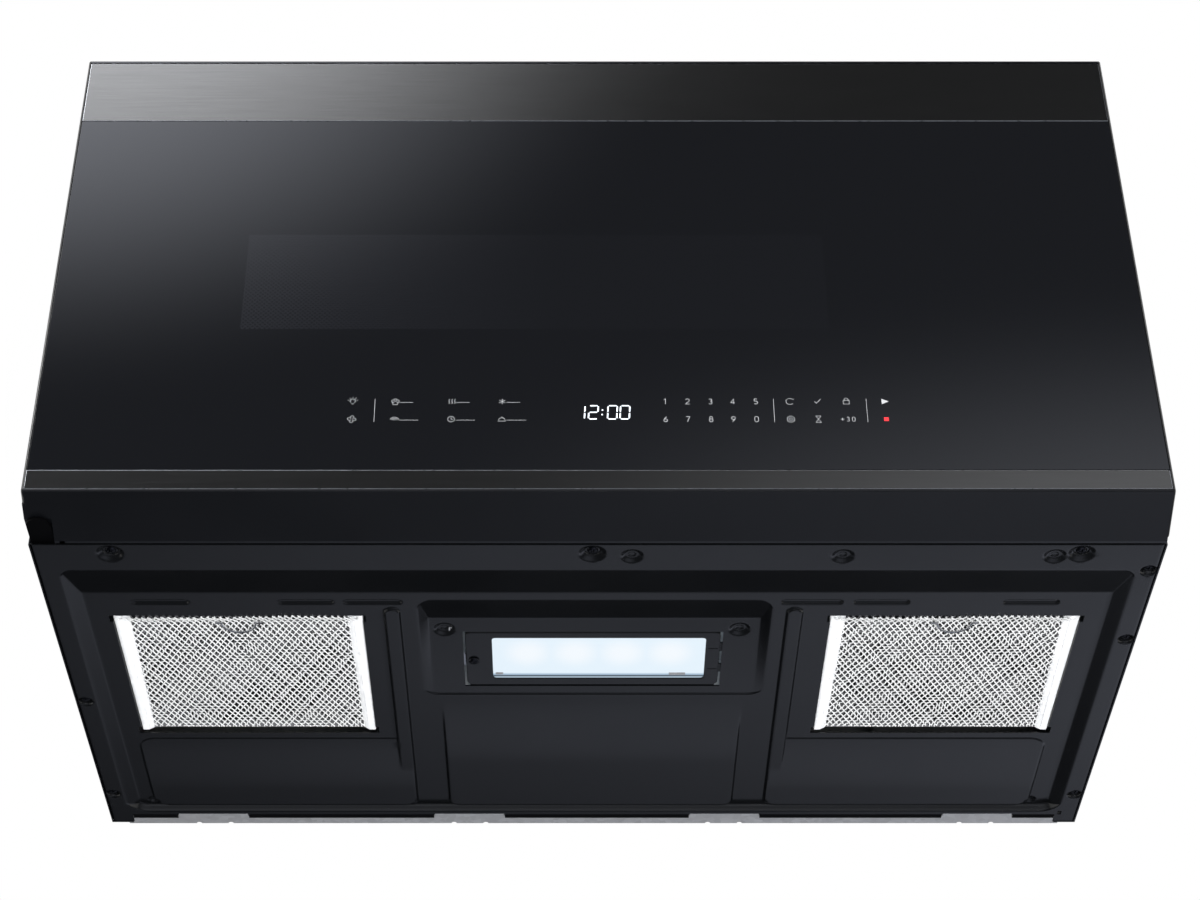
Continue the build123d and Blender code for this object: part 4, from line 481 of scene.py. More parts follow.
def mottled(tree, shader, tone_low, tone_high, patch_mm, detail, glows=False):
    """Two tones in patches of a real size. What glows, such as a lit digit, glows in them too."""
    place = add(tree, "TexCoord").outputs["Object"]
    patches = add(tree, "TexNoise", {"Scale": 1 / (patch_mm * mm), "Detail": detail}, {"Vector": place})
    tone = add(
        tree, "Mix", {"data_type": "RGBA", 6: linear(tone_low), 7: linear(tone_high)},
        {0: patches.outputs[0]},
    )
    tree.links.new(tone.outputs[2], shader.inputs["Base Color"])
    if glows:
        tree.links.new(tone.outputs[2], shader.inputs["Emission Color"])


# Blackened steel keeps the shine of metal under its dark skin, so the heads catch small lights.
blackened, tree, shader = new_finish("blackened_steel_headed", {"Metallic": 1.0, "Roughness": 0.24})
mottled(tree, shader, "26272b", "4c4d52", patch_mm=1.5, detail=4.0)


def screw(points, faces, place):
    """A pan head with a cross recess, looking down, and its threaded shank; place moves it."""
    rings, turns, thread_steps = 13, 40, 18
    first = len(points)
    for ring in range(rings + 1):
        radius = head_radius * ring / rings
        for turn in range(turns):
            angle = 2 * math.pi * turn / turns
            x, y = radius * math.cos(angle), radius * math.sin(angle)
            dome = head_height * (1 - dome_share * (radius / head_radius) ** 4)
            across = max(0.0, min(1.0, (cross_half - min(abs(x), abs(y))) / cross_flank))
            along = max(0.0, min(1.0, (cross_reach - max(abs(x), abs(y))) / cross_end))
            recess = cross_depth * across * along
            points.append(place @ Vector((x, y, head_height - dome + recess)))
    profile = [(head_radius, head_height)] + [
        (shank_radius - thread_depth * (step % 2), head_height + 0.02 + shank_length * step / thread_steps)
        for step in range(thread_steps + 1)
    ]
    for radius, height in profile:
        for turn in range(turns):
            angle = 2 * math.pi * turn / turns
            points.append(place @ Vector((radius * math.cos(angle), radius * math.sin(angle), height)))
    for ring in range(rings + len(profile)):
        for turn in range(turns):
            after = (turn + 1) % turns
            low, high = first + ring * turns, first + (ring + 1) * turns
            faces.append((low + turn, high + turn, high + after, low + after))


points, faces = [], []
for x, out in front_screws + side_screws:
    screw(points, faces, Matrix.Translation((x, -out, screw_depth + screw_seat - head_height)))
base_screws = new_piece("base_screws_cross_recess", points, faces, [blackened])
crisp = base_screws.modifiers.new("recess_edges", "EDGE_SPLIT")
crisp.split_angle = math.radians(35)
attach(base_screws, "housing")
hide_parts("base_screws")

lamp_tilt = math.atan2(
    pocket_front_depth - pocket_rear_depth,
    pocket_front - pocket_front_run - pocket_rear - pocket_rear_run,
)
lamp_level = recess_depth + pocket_front_depth - (
    pocket_front - pocket_front_run - lamp_out
) * math.tan(lamp_tilt)
lamp_plane = Matrix.Translation((lamp_x, -lamp_out, lamp_level)) @ Matrix.Rotation(-lamp_tilt, 4, "X")
cover_screw_inset = 5.6
cover_screw_x = cover_screw_inset - cover_width / 2
points, faces = [], []
screw(points, faces, lamp_plane @ Matrix.Translation((cover_screw_x, 0, -head_height)))
lamp_screw = new_piece("lamp_screw_cross_recess", points, faces, [blackened])
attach(lamp_screw, "lamp_cover")
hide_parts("lamp_screw")

# ---- Grease filters -------------------------------------------------------------------------
# A frame of soft aluminium sheet, folded and crinkled round layers of expanded aluminium mesh. The
# strands cross on the slant, and each layer lies a little askew.

# Mill-finish sheet is nearly white, and its crinkles break the highlights up.
mill_aluminium, tree, shader = new_finish(
    "aluminium_mill_finish_crinkled", {"Metallic": 0.08, "Roughness": 0.45}
)
place = add(tree, "TexCoord").outputs["Object"]
crinkle = add(
    tree, "TexNoise", {"Scale": 1 / (7 * mm), "Detail": 3.0, "Roughness": 0.6}, {"Vector": place}
)
foil = add(tree, "Bump", {"Strength": 0.5, "Distance": 0.7 * mm}, {"Height": crinkle.outputs[0]})
# Its tone follows the crinkles, darker in their hollows: painted shade.
crinkle_shade_tone = add(
    tree, "Mix", {"data_type": "RGBA", 6: linear("e2e4e8"), 7: linear("f8f9fb")},
    {0: crinkle.outputs[0]},
)
tree.links.new(crinkle_shade_tone.outputs[2], shader.inputs["Base Color"])
tree.links.new(foil.outputs[0], shader.inputs["Normal"])

# The outer layer's strands are white; the layer behind is a grey copy, painted shade from the outer layer.
bright_strand, tree, shader = new_finish(
    "aluminium_expanded_bright", {"Metallic": 0.2, "Roughness": 0.35}
)
mottled(tree, shader, "e6e8eb", "ffffff", patch_mm=2.2, detail=2.0)
painted_shade_strand, tree, shader = new_finish(
    "aluminium_expanded_painted_shade", {"Metallic": 0.2, "Roughness": 0.45}
)
mottled(tree, shader, "5b5c60", "9b9ca0", patch_mm=2.2, detail=2.0)

# Deep in the pad a nearly black, rough sheet stands for the layers behind: painted shade.
painted_deep_shade, tree, shader = new_finish("painted_shade_near_black", {"Metallic": 0.0, "Roughness": 0.8})
mottled(tree, shader, "010102", "0a0b0c", patch_mm=1.6, detail=3.0)

filter_lift, filter_thickness, pad_skin, pad_inset = 1.5, 9.5, 1.3, 1.4
filter_low = recess_depth + filter_lift
pad_low, pad_high = filter_low + pad_skin, filter_low + filter_thickness - pad_skin
pad_half_x, pad_half_out = filter_width / 2 - pad_inset, filter_length / 2 - pad_inset
pad_front = filter_length / 2 + pad_inset
strand_pitch, strand_radius, strand_swing = 4.0, 0.56, 0.14
outer_slant, inner_slant, inner_stretch, askew = 61.0, 60.0, 1.01, 1.6
layer_lift, layer_apart, weave_rise = 0.7, 2.2, 0.3
layer_weights, weight_swing = (1.0, 0.72), 0.22

# Over the front hem the outer layer sags, and it bulges forward right of the middle.
hem_start, hem_run, hem_sag = -66.0, 12.0, 4.3
bulge, bulge_middle, bulge_reach, ripple, ripple_run = 2.2, 38.0, 34.0, 0.4, 4.7


def strands(curve, centre_x, layer, pitch, slant, turn, chance):
    """One layer of expanded mesh: wavy strands that cross on the slant and sag over the front hem."""
    for family in (-1, 1):
        heading = math.pi / 2 + family * (math.pi / 2 - slant) + turn
        direction = Vector((math.cos(heading), math.sin(heading)))
        normal = Vector((-direction.y, direction.x))
        span = pad_half_x * abs(normal.x) + pad_front * abs(normal.y)
        count = int(span / pitch)
        for index in range(-count, count + 1):
            base = normal * ((index + chance.uniform(-strand_swing, strand_swing)) * pitch)
            reach = []
            for low, high, start, step in (
                (-pad_half_x, pad_half_x, base.x, direction.x),
                (-pad_front, pad_half_out, base.y, direction.y),
            ):
                reach.append(sorted(((low - start) / step, (high - start) / step)))
            first, last = max(reach[0][0], reach[1][0]), min(reach[0][1], reach[1][1])
            if last - first < pitch:
                continue
            steps = max(2, int((last - first) / (pitch / 2)))
            line = curve.splines.new("POLY")
            line.material_index = layer
            line.points.add(steps)
            for step in range(steps + 1):
                along = first + (last - first) * step / steps
                swing = math.cos(math.pi * (2 * along / pitch + index))
                spot = base + direction * along + normal * (strand_swing * pitch * swing * family)
                x = min(max(spot.x, -pad_half_x), pad_half_x)
                dip = max(0.0, min(1.0, (hem_start - spot.y) / hem_run)) ** 1.5
                hem = bulge * math.exp(-((x - bulge_middle) / bulge_reach) ** 2)
                hem += ripple * math.sin(x / ripple_run)
                y = min(spot.y - dip * hem, pad_half_out)
                height = pad_low + layer_lift + layer_apart * layer + weave_rise * swing * family
                height -= hem_sag * dip * (1 - layer)
                line.points[step].co = ((centre_x + x) * mm, (y - filter_out) * mm, height * mm, 1.0)
                line.points[step].radius = layer_weights[layer] * (1.0 + weight_swing * swing)


def expanded_mesh(name, centre_x, lean):
    """The mesh pad of one filter; lean is the side to which its layers are turned."""
    curve = bpy.data.curves.new(name, "CURVE")
    curve.dimensions = "3D"
    curve.bevel_depth = strand_radius * mm
    curve.bevel_resolution = 0
    chance = random.Random(7 + lean)
    curve.materials.append(bright_strand)
    curve.materials.append(painted_shade_strand)
    turn = math.radians(askew * lean)
    strands(curve, centre_x, 0, strand_pitch, math.radians(outer_slant), 0.0, chance)
    strands(curve, centre_x, 1, inner_stretch * strand_pitch, math.radians(inner_slant), turn, chance)
    pad = bpy.data.objects.new(name, curve)
    bpy.context.scene.collection.objects.link(pad)
    return pad


# The rails narrow towards the rear, and their free inner edge is crinkled the most.
foil_thickness, rail_taper, slight_dent, deep_dent, dent_start = 0.35, 0.20, 0.16, 0.42, 6.2
wall_inset, wall_half, front_wall_rise, rear_wall_rise = 0.5, 0.4, 1.6, 2.4


def folded_frame(name, centre_x):
    """The frame of one filter: two rails folded over the pad, and a wall at either end."""
    chance = random.Random(int(centre_x))
    points, faces = [], []
    profile = (
        (0.0, 9.5), (0.0, 0.55), (0.5, 0.0), (3.2, 0.0), (6.0, 0.05), (6.4, 0.7), (6.8, 0.6), (8.6, 1.2),
        (10.3, 2.1), (10.6, 2.6), (10.4, 3.4),
    )
    rows = 66
    for hand in (-1, 1):
        first = len(points)
        dents = [chance.uniform(-1, 1) for _ in range(rows * len(profile))]
        for row in range(rows):
            out = filter_out + filter_length * (row / (rows - 1) - 0.5)
            for corner, (inward, rise) in enumerate(profile):
                dent = dents[row * len(profile) + corner]
                loose = 0.0 if corner < 2 else (slight_dent if inward < dent_start else deep_dent)
                inward *= 1 - rail_taper + rail_taper * row / (rows - 1)
                points.append((
                    centre_x + hand * (filter_width / 2 - inward - loose * dent * (corner > 4)),
                    -out, filter_low + rise + loose * (0.6 + 0.4 * dent) * abs(dent),
                ))
        width = len(profile)
        for row in range(rows - 1):
            for corner in range(width - 1):
                a = first + row * width + corner
                faces.append((a, a + 1, a + width + 1, a + width)[::hand])
    for hand in (-1, 1):
        out = filter_out + hand * (filter_length / 2 - wall_inset)
        wall_rise = front_wall_rise if hand > 0 else rear_wall_rise
        wall_reach = filter_width / 2 - wall_inset
        slab(
            points, faces, (centre_x - wall_reach, centre_x + wall_reach),
            (out - wall_half, out + wall_half), (filter_low + wall_rise, filter_low + filter_thickness),
        )
    frame_piece = new_piece(name, points, faces, [mill_aluminium, painted_shade_strand])
    # The two end walls take the grey copy too: painted shade from the pad.
    wall_sides = 2 * 6
    for face in frame_piece.data.polygons[-wall_sides:]:
        face.material_index = 1
    foil = frame_piece.modifiers.new("sheet", "SOLIDIFY")
    foil.thickness = foil_thickness * mm
    foil.offset = 0.0
    crease = frame_piece.modifiers.new("creases", "EDGE_SPLIT")
    crease.split_angle = math.radians(50)
    return frame_piece


for side, name in ((-1, "left"), (1, "right")):
    rails = folded_frame(f"filter_rails_{name}", side * filter_x)
    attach(rails, f"filter_{name}")
    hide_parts(f"filter_frame_{name}")
    pad = expanded_mesh(f"filter_strands_{name}", side * filter_x, side)
    # The near-black sheet behind the strands is painted shade for the pad's deep layers.
    points, faces = [], []
    slab(
        points, faces, (side * filter_x - pad_half_x, side * filter_x + pad_half_x),
        (filter_out - pad_half_out, filter_out + pad_half_out), (pad_high - 0.6, pad_high),
    )
    shade_sheet = new_piece(f"filter_shade_sheet_{name}", points, faces, [painted_deep_shade], smooth=False)
    for piece in (pad, shade_sheet):
        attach(piece, f"filter_{name}")
        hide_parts(f"filter_mesh_{name}")

# ---- Pull rings -----------------------------------------------------------------------------
# Bright spring wire, bent on a former to a half ring with two straight ends. These turn in two
# lugs at each filter's front edge.

# Drawn wire is smooth, so it shows as a thin bright line with dark flanks.
spring_wire, tree, shader = new_finish("spring_steel_drawn", {"Metallic": 1.0, "Roughness": 0.25})
mottled(tree, shader, "b9bbbf", "dfe1e4", patch_mm=0.9, detail=2.0)
ring_radius, ring_reach, ring_out, ring_level = 12.0, 16.2, 282.0, 6.1
wire_radius, ring_steps = 0.7, 24
for side, name in ((-1, "left"), (1, "right")):
    curve = bpy.data.curves.new(f"pull_wire_{name}", "CURVE")
    curve.dimensions = "3D"
    curve.bevel_depth = wire_radius * mm
    curve.bevel_resolution = 3
    curve.use_fill_caps = True
    turns = [math.pi * step / ring_steps for step in range(ring_steps + 1)]
    half_ring = [(-ring_radius * math.cos(turn), ring_radius * math.sin(turn)) for turn in turns]
    path = [(-ring_reach, 0.0)] + half_ring + [(ring_reach, 0.0)]
    line = curve.splines.new("POLY")
    line.points.add(len(path) - 1)
    for point, (x, y) in zip(line.points, path):
        point.co = ((side * filter_x + x) * mm, (y - ring_out) * mm, ring_level * mm, 1.0)
    curve.materials.append(spring_wire)
    wire = bpy.data.objects.new(f"pull_wire_{name}", curve)
    bpy.context.scene.collection.objects.link(wire)
    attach(wire, f"ring_{name}")
    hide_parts(f"pull_ring_{name}")

# ---- Cooktop lamp ---------------------------------------------------------------------------
# A drop-down cover of pressed steel that holds a frosted glass, under a plated box with four
# diodes. It hooks in at the right and is screwed to a spring clip. Near-black strips of painted
# shade fill the gaps along both long sides.
lens_front, lens_rear, lens_left, lens_right = 256.0, 205.0, -74.2, 78.2


def round_corners(left, right, rear, front, radius, steps=7):
    """Points round a rectangle with round corners, in the lamp's own tilted plane."""
    outline = []
    for middle_x, middle_y, start in (
        (right - radius, rear - radius, 0), (left + radius, rear - radius, 90),
        (left + radius, front + radius, 180), (right - radius, front + radius, 270),
    ):
        for step in range(steps + 1):
            angle = math.radians(start + 90 * step / steps)
            outline.append((middle_x + radius * math.cos(angle), middle_y + radius * math.sin(angle)))
    return outline


# Loops from the opening's inner lip out to the rim: edges, how far in, corner radius and level.
outer_edges = (-cover_width / 2, cover_width / 2, lamp_out - cover_rear, lamp_out - cover_front)
lens_edges = (lens_left - lamp_x, lens_right - lamp_x, lamp_out - lens_rear, lamp_out - lens_front)
points, faces = [], []
for edges, shrink, radius, level in (
    (lens_edges, 0.0, 2.6, 1.2), (lens_edges, 0.0, 2.6, 0.35), (lens_edges, -0.35, 2.9, 0.0),
    (outer_edges, 0.5, 3.5, 0.0), (outer_edges, 0.0, 4.0, 0.5), (outer_edges, 0.0, 4.0, 4.0),
):
    left, right, rear, front = edges
    for x, y in round_corners(left + shrink, right - shrink, rear - shrink, front + shrink, radius):
        points.append(lamp_plane @ Vector((x, y, level)))
turn_count = 4 * 8
for loop in range(5):
    for turn in range(turn_count):
        a, b = loop * turn_count + turn, loop * turn_count + (turn + 1) % turn_count
        faces.append((a, b, b + turn_count, a + turn_count))


def tilted_blocks(points, faces, blocks):
    """Adds blocks whose x, out and z lie in the lamp's own tilted plane."""
    for x, out, z in blocks:
        corners, sides = [], []
        slab(corners, sides, x, out, z)
        faces.extend([tuple(corner + len(points) for corner in side) for side in sides])
        points.extend([lamp_plane @ Vector(corner) for corner in corners])


# Two stiffening beads beside the glass, and the two tongues that hook into the base plate.
half_cover = cover_width / 2
bead_x, bead_half, bead_z = (half_cover - 8.0, half_cover - 1.5), 0.5, (-0.3, 0.2)
tongue_x, tongue_half, tongue_z = (half_cover - 1.0, half_cover + 4.0), 5.0, (2.4, 3.4)
beads = [(bead_x, (out - bead_half, out + bead_half), bead_z) for out in (14.0, -11.5)]
tongues = [(tongue_x, (out - tongue_half, out + tongue_half), tongue_z) for out in (13.15, -13.15)]
tilted_blocks(points, faces, beads + tongues)
cover = new_piece("lamp_cover_pressed", points, faces, [powder_coat])
for face in cover.data.polygons[2 * turn_count:3 * turn_count]:
    face.use_smooth = False
crisp = cover.modifiers.new("bent_edges", "EDGE_SPLIT")
crisp.split_angle = math.radians(50)
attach(cover, "lamp_cover")
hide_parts("lamp_cover")

points, faces = [], []
tab_level = (0.95, 1.15)
glass_tabs = (((-70.0, -64.6), (-19.6, -17.0), tab_level), ((55.4, 67.2), (-20.2, -17.2), tab_level))
tilted_blocks(points, faces, glass_tabs)
tabs = new_piece("lamp_glass_tabs", points, faces, [zinc_plated], smooth=False)
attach(tabs, "lamp_cover")

# Near-black strips fill the gaps along the cover's long sides: painted shade, in the filters' painted-shade
# finish.
points, faces = [], []
cover_shade_x, cover_shade_z, cover_shade_width, cover_shade_gap = half_cover - 2.0, (1.5, 3.5), 4.0, 0.2
for near, far in (
    (cover_front - lamp_out + cover_shade_gap, cover_front - lamp_out + cover_shade_width),
    (cover_rear - lamp_out - cover_shade_width, cover_rear - lamp_out - cover_shade_gap),
):
    tilted_blocks(points, faces, [((-cover_shade_x, cover_shade_x), (near, far), cover_shade_z)])
lamp_gap_shade = new_piece("lamp_gap_shade_strips", points, faces, [painted_deep_shade], smooth=False)
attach(lamp_gap_shade, "housing")
dress("lamp_clip", spring_wire, edge=0.15)
dress("lamp_housing", zinc_plated, edge=0.3)

# Etched glass scatters the diodes' light: an even white field with four faint brighter spots. The
# light falls off along its rear edge, with a dark line and a pale rim.
lens_middle, diode_apart, diode_out, diode_level = lamp_x + 4.3, 34.0, 236.0, 12.0
glow_reach, glow_core = 22.0, 4.0
frosted_glass, tree, shader = new_finish(
    "lamp_glass_frosted_lit",
    {"Base Color": linear("3c4248"), "Roughness": 0.3, "IOR": 1.5, "Emission Strength": 0.89},
)
place = add(tree, "TexCoord").outputs["Object"]
apart = add(tree, "SeparateXYZ", links={"Vector": place})
glow = None
for index in range(4):
    diode = ((lens_middle + (index - 1.5) * diode_apart) * mm, -diode_out * mm, diode_level * mm)
    far = add(tree, "VectorMath", {"operation": "DISTANCE", 1: diode}, {0: place})
    near = add(
        tree, "MapRange",
        {"interpolation_type": "SMOOTHSTEP", "From Min": glow_reach * mm, "From Max": glow_core * mm},
        {"Value": far.outputs["Value"]},
    )
    if glow is None:
        glow = near.outputs[0]
    else:
        glow = add(tree, "Math", {"operation": "MAXIMUM"}, {0: glow, 1: near.outputs[0]}).outputs[0]
shade_start, shade_end = -214.0, -205.0
depth = add(
    tree, "MapRange", {"From Min": shade_start * mm, "From Max": shade_end * mm},
    {"Value": apart.outputs["Y"]},
)
edge_shade = add(tree, "ValToRGB", links={"Fac": depth.outputs[0]})
shades = (
    (0.3, "ffffff"), (0.5, "c3d0da"), (0.62, "a3b3c1"), (0.70, "2c3944"), (0.85, "36444f"), (0.92, "e4edf4"),
)
edge_shade.color_ramp.elements.remove(edge_shade.color_ramp.elements[1])
stops = edge_shade.color_ramp.elements
for index, (at, shade) in enumerate(shades):
    stop = stops[0] if index == 0 else stops.new(at)
    stop.position = at
    stop.color = linear(shade)
lit = add(
    tree, "Mix", {"data_type": "RGBA", 6: linear("e7f4fd"), 7: linear("f6fbff")}, {0: glow}
)
shaded = add(
    tree, "Mix", {"data_type": "RGBA", "blend_type": "MULTIPLY", 0: 1.0},
    {6: lit.outputs[2], 7: edge_shade.outputs["Color"]},
)
tree.links.new(shaded.outputs[2], shader.inputs["Emission Color"])
dress("lamp_glass", frosted_glass, edge=0.3)

# ---- Circuit boards -------------------------------------------------------------------------
# Glass-fibre boards with green solder mask: the light board, the noise filter board and the
# touch board in the door. The mask is glossy, and tracks show as paler lines under it.
solder_mask, tree, shader = new_finish("solder_mask_on_board", {"Roughness": 0.3, "IOR": 1.5})
place = add(tree, "TexCoord").outputs["Object"]
tracks = add(
    tree, "TexBrick",
    {"Scale": 1 / (9 * mm), "Mortar Size": 0.06, "Color1": linear("0f4a2a"), "Color2": linear("0d4226"),
     "Mortar": linear("2f7a4c")},
    {"Vector": place},
)
tree.links.new(tracks.outputs["Color"], shader.inputs["Base Color"])
for board in ("lamp_board", "noise_filter_board", "control_board"):
    dress(board, solder_mask, edge=0.15)

# ---- Turntable ------------------------------------------------------------------------------
# A geared motor under the cavity, a white nylon coupler, a roller ring on three wheels, and a
# pressed tray of clear tempered glass.

# Moulded nylon lets a little light in, so its edges look soft.
white_nylon, tree, shader = new_finish(
    "white_nylon_moulded", {"IOR": 1.53, "Subsurface Weight": 0.05, "Subsurface Scale": 1.5 * mm}
)
orange_peel(tree, shader, "d9d9d5", "e6e6e2", grain_mm=0.8, depth_mm=0.04, gloss=(0.36, 0.48))
for node in ("turntable_coupler", "roller_ring", "roller_1", "roller_2", "roller_3"):
    dress(node, white_nylon, edge=0.25)

dress("turntable_motor", zinc_plated, edge=0.4)

# Pressed glass is clear with a faint green, and its slow waves bend what is seen through it.
pressed_glass, tree, shader = new_finish(
    "clear_glass_pressed",
    {"Roughness": 0.04, "IOR": 1.52, "Transmission Weight": 0.94, "Base Color": linear("eaf3f0")},
)
place = add(tree, "TexCoord").outputs["Object"]
flow = add(tree, "TexNoise", {"Scale": 1 / (18 * mm), "Detail": 1.0}, {"Vector": place})
chill = add(tree, "Bump", {"Strength": 0.08, "Distance": 0.4 * mm}, {"Height": flow.outputs[0]})
tree.links.new(chill.outputs[0], shader.inputs["Normal"])
dress("glass_tray", pressed_glass, edge=0.6)

# ---- Component bay --------------------------------------------------------------------------
# A plated tray with the transformer, a stack of welded steel sheets with two copper windings, and
# the capacitor in its drawn aluminium can.
dress("component_tray", zinc_plated, edge=0.3)

# The sheets are 0.5 mm thick. They are drawn 2.5 mm thick, or they would not show as a stack.
laminations, tree, shader = new_finish("varnished_laminations", {"Metallic": 0.7, "Roughness": 0.42})
place = add(tree, "TexCoord").outputs["Object"]
sheets = add(
    tree, "TexWave", {"wave_type": "BANDS", "bands_direction": "Z", "Scale": 1 / (8 * mm), "Distortion": 0.3},
    {"Vector": place},
)
core_tone = add(
    tree, "Mix", {"data_type": "RGBA", 6: linear("3b3530"), 7: linear("6b625a")},
    {0: sheets.outputs[0]},
)
stacked = add(tree, "Bump", {"Strength": 0.4, "Distance": 0.2 * mm}, {"Height": sheets.outputs[0]})
tree.links.new(core_tone.outputs[2], shader.inputs["Base Color"])
tree.links.new(stacked.outputs[0], shader.inputs["Normal"])
dress("transformer_core", laminations, edge=0.4)

# Enamel turns copper wire a deep, glossy brown. Turns of 1 mm are drawn 3 mm apart to show.
copper_wire, tree, shader = new_finish("enamelled_copper_wire_wound", {"Metallic": 0.9, "Roughness": 0.3})
place = add(tree, "TexCoord").outputs["Object"]
turns = add(
    tree, "TexWave", {"wave_type": "BANDS", "bands_direction": "Z", "Scale": 1 / (9 * mm), "Distortion": 0.6},
    {"Vector": place},
)
wire_bump = add(tree, "Bump", {"Strength": 0.6, "Distance": 0.5 * mm}, {"Height": turns.outputs[0]})
# Between the turns the tone is darker: painted shade in the grooves.
copper_and_turn_shade = add(
    tree, "Mix", {"data_type": "RGBA", 6: linear("6b3418"), 7: linear("b8683a")},
    {0: turns.outputs[0]},
)
tree.links.new(copper_and_turn_shade.outputs[2], shader.inputs["Base Color"])
tree.links.new(wire_bump.outputs[0], shader.inputs["Normal"])
dress("transformer_windings", copper_wire, edge=0.8)

# Drawing leaves fine lines down the can, about 1 mm apart and many times as long.
drawn_aluminium, tree, shader = new_finish("aluminium_drawn", {"Metallic": 1.0, "Roughness": 0.32})
place = add(tree, "TexCoord").outputs["Object"]
draw_width, draw_length = 10 / 9, 50 / 3
draw_lines = add(
    tree, "Mapping", {"Scale": (1 / (draw_width * mm), 1 / (draw_width * mm), 1 / (draw_length * mm))},
    {"Vector": place},
)
lines = add(tree, "TexNoise", {"Scale": 1.0, "Detail": 2.0}, {"Vector": draw_lines.outputs[0]})
can_tone = add(
    tree, "Mix", {"data_type": "RGBA", 6: linear("a9acb0"), 7: linear("c9ccd0")},
    {0: lines.outputs[0]},
)
tree.links.new(can_tone.outputs[2], shader.inputs["Base Color"])
dress("capacitor", drawn_aluminium, edge=0.4)

# ---- Microwave source -----------------------------------------------------------------------
# Magnetron with its stack of cooling fins, bolted to a folded waveguide. A sheet of mica closes
# the waveguide's mouth in the cavity wall.
dress("magnetron", drawn_aluminium, edge=0.2)
dress("waveguide", zinc_plated, edge=0.3)

# Mica splits in flakes, so patches of a pale tan shade meet at hard edges.
mica, tree, shader = new_finish("mica_sheet_cleaved", {"Roughness": 0.35, "IOR": 1.58})
place = add(tree, "TexCoord").outputs["Object"]
flakes = add(tree, "TexVoronoi", {"Scale": 1 / (6 * mm), "Randomness": 1.0}, {"Vector": place})
flake = add(tree, "SeparateColor", links={"Color": flakes.outputs["Color"]})
mica_tone = add(
    tree, "Mix", {"data_type": "RGBA", 6: linear("cfc2a4"), 7: linear("e2d8bd")},
    {0: flake.outputs["Red"]},
)
tree.links.new(mica_tone.outputs[2], shader.inputs["Base Color"])
dress("waveguide_cover", mica, edge=0.1)

# ---- Cooling fan, cavity lamp and vent blower -----------------------------------------------
# Plated shroud and scroll housings, motors with laminated stators, moulded wheels, and the small
# box of the cavity lamp on the ceiling's slots.
dress("fan_shroud", zinc_plated, edge=0.3)
dress("fan_motor", laminations, edge=0.4)
dress("cooling_fan", white_nylon, edge=0.2)
dress("cavity_lamp", zinc_plated, edge=0.3)
dress("blower_motor", laminations, edge=0.5)
dress("blower_rotor", white_nylon, edge=0)
dress("blower_scrolls", zinc_plated, edge=0.3)

# ---- Top vent and charcoal filter -----------------------------------------------------------
# Louvred steel front over the door, coated with the case, and a grid of charcoal granules
# behind it that cleans the air when the hood blows back into the room.
dress("top_vent", powder_coat, edge=0.4)

# Granules of 2.5 mm swallow light and leave the pressed grid rough and black.
charcoal, tree, shader = new_finish("charcoal_granules_pressed", {"Roughness": 0.85})
place = add(tree, "TexCoord").outputs["Object"]
granule = add(tree, "TexVoronoi", {"Scale": 1 / (2.5 * mm), "Randomness": 1.0}, {"Vector": place})
granule_bump = add(
    tree, "Bump", {"Strength": 1.0, "Distance": 1.0 * mm, "invert": True},
    {"Height": granule.outputs["Distance"]},
)
# Between the granules the tone is darker: painted shade in the gaps.
charcoal_and_gap_shade = add(
    tree, "Mix", {"data_type": "RGBA", 6: linear("1c1c1d"), 7: linear("070708")},
    {0: granule.outputs["Distance"]},
)
tree.links.new(charcoal_and_gap_shade.outputs[2], shader.inputs["Base Color"])
tree.links.new(granule_bump.outputs[0], shader.inputs["Normal"])
dress("charcoal_filter", charcoal, edge=0.6)

# ---- Hinges and interlock -------------------------------------------------------------------
# Hinge brackets of 2 mm steel, blanked and screwed to the case, and behind the latch slots a white
# moulding that carries the door switches and their two plungers.

# Black oxide is a dull, deep black that hardly mirrors anything.
black_oxide, tree, shader = new_finish(
    "black_oxide_on_steel", {"Specular IOR Level": 0.15, "IOR": 1.35}
)
orange_peel(tree, shader, "020203", "050506", grain_mm=0.8, depth_mm=0.03, gloss=(0.7, 0.85))
dress("hinge_brackets", black_oxide, edge=0.3)
dress("interlock_board", white_nylon, edge=0.25)
dress("interlock_switches", black_nylon, edge=0.25)
dress("interlock_plungers", white_nylon, edge=0.2)

# ---- Door shell -----------------------------------------------------------------------------
# Moulded frame of black ABS with a fine satin grain. Its sloped underside is the dark band under
# the door's face, and ends at the rear in a lip that narrows the gap to the case.

# A satin mould leaves a fine grain, so lamps show in the plastic as broad, dim bands.
satin_abs, tree, shader = new_finish("black_abs_moulded_satin", {"IOR": 1.53})
orange_peel(tree, shader, "07080a", "0b0c0f", grain_mm=0.9, depth_mm=0.03, gloss=(0.26, 0.32))
door_rear = -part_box("door_shell")[1].y / mm
under_lift, under_depth, under_gap = 14.4, 37.5, 0.02
under_rise = under_lift / under_depth
lip_reach, lip_level, lip_step, arm_room = 2.1, 0.05, 0.2, 6.5
long_lip, notch_filler = (-358.0, 378.4, 4.0, 3.5), (-361.3, -354.5, 17.0, 6.5)

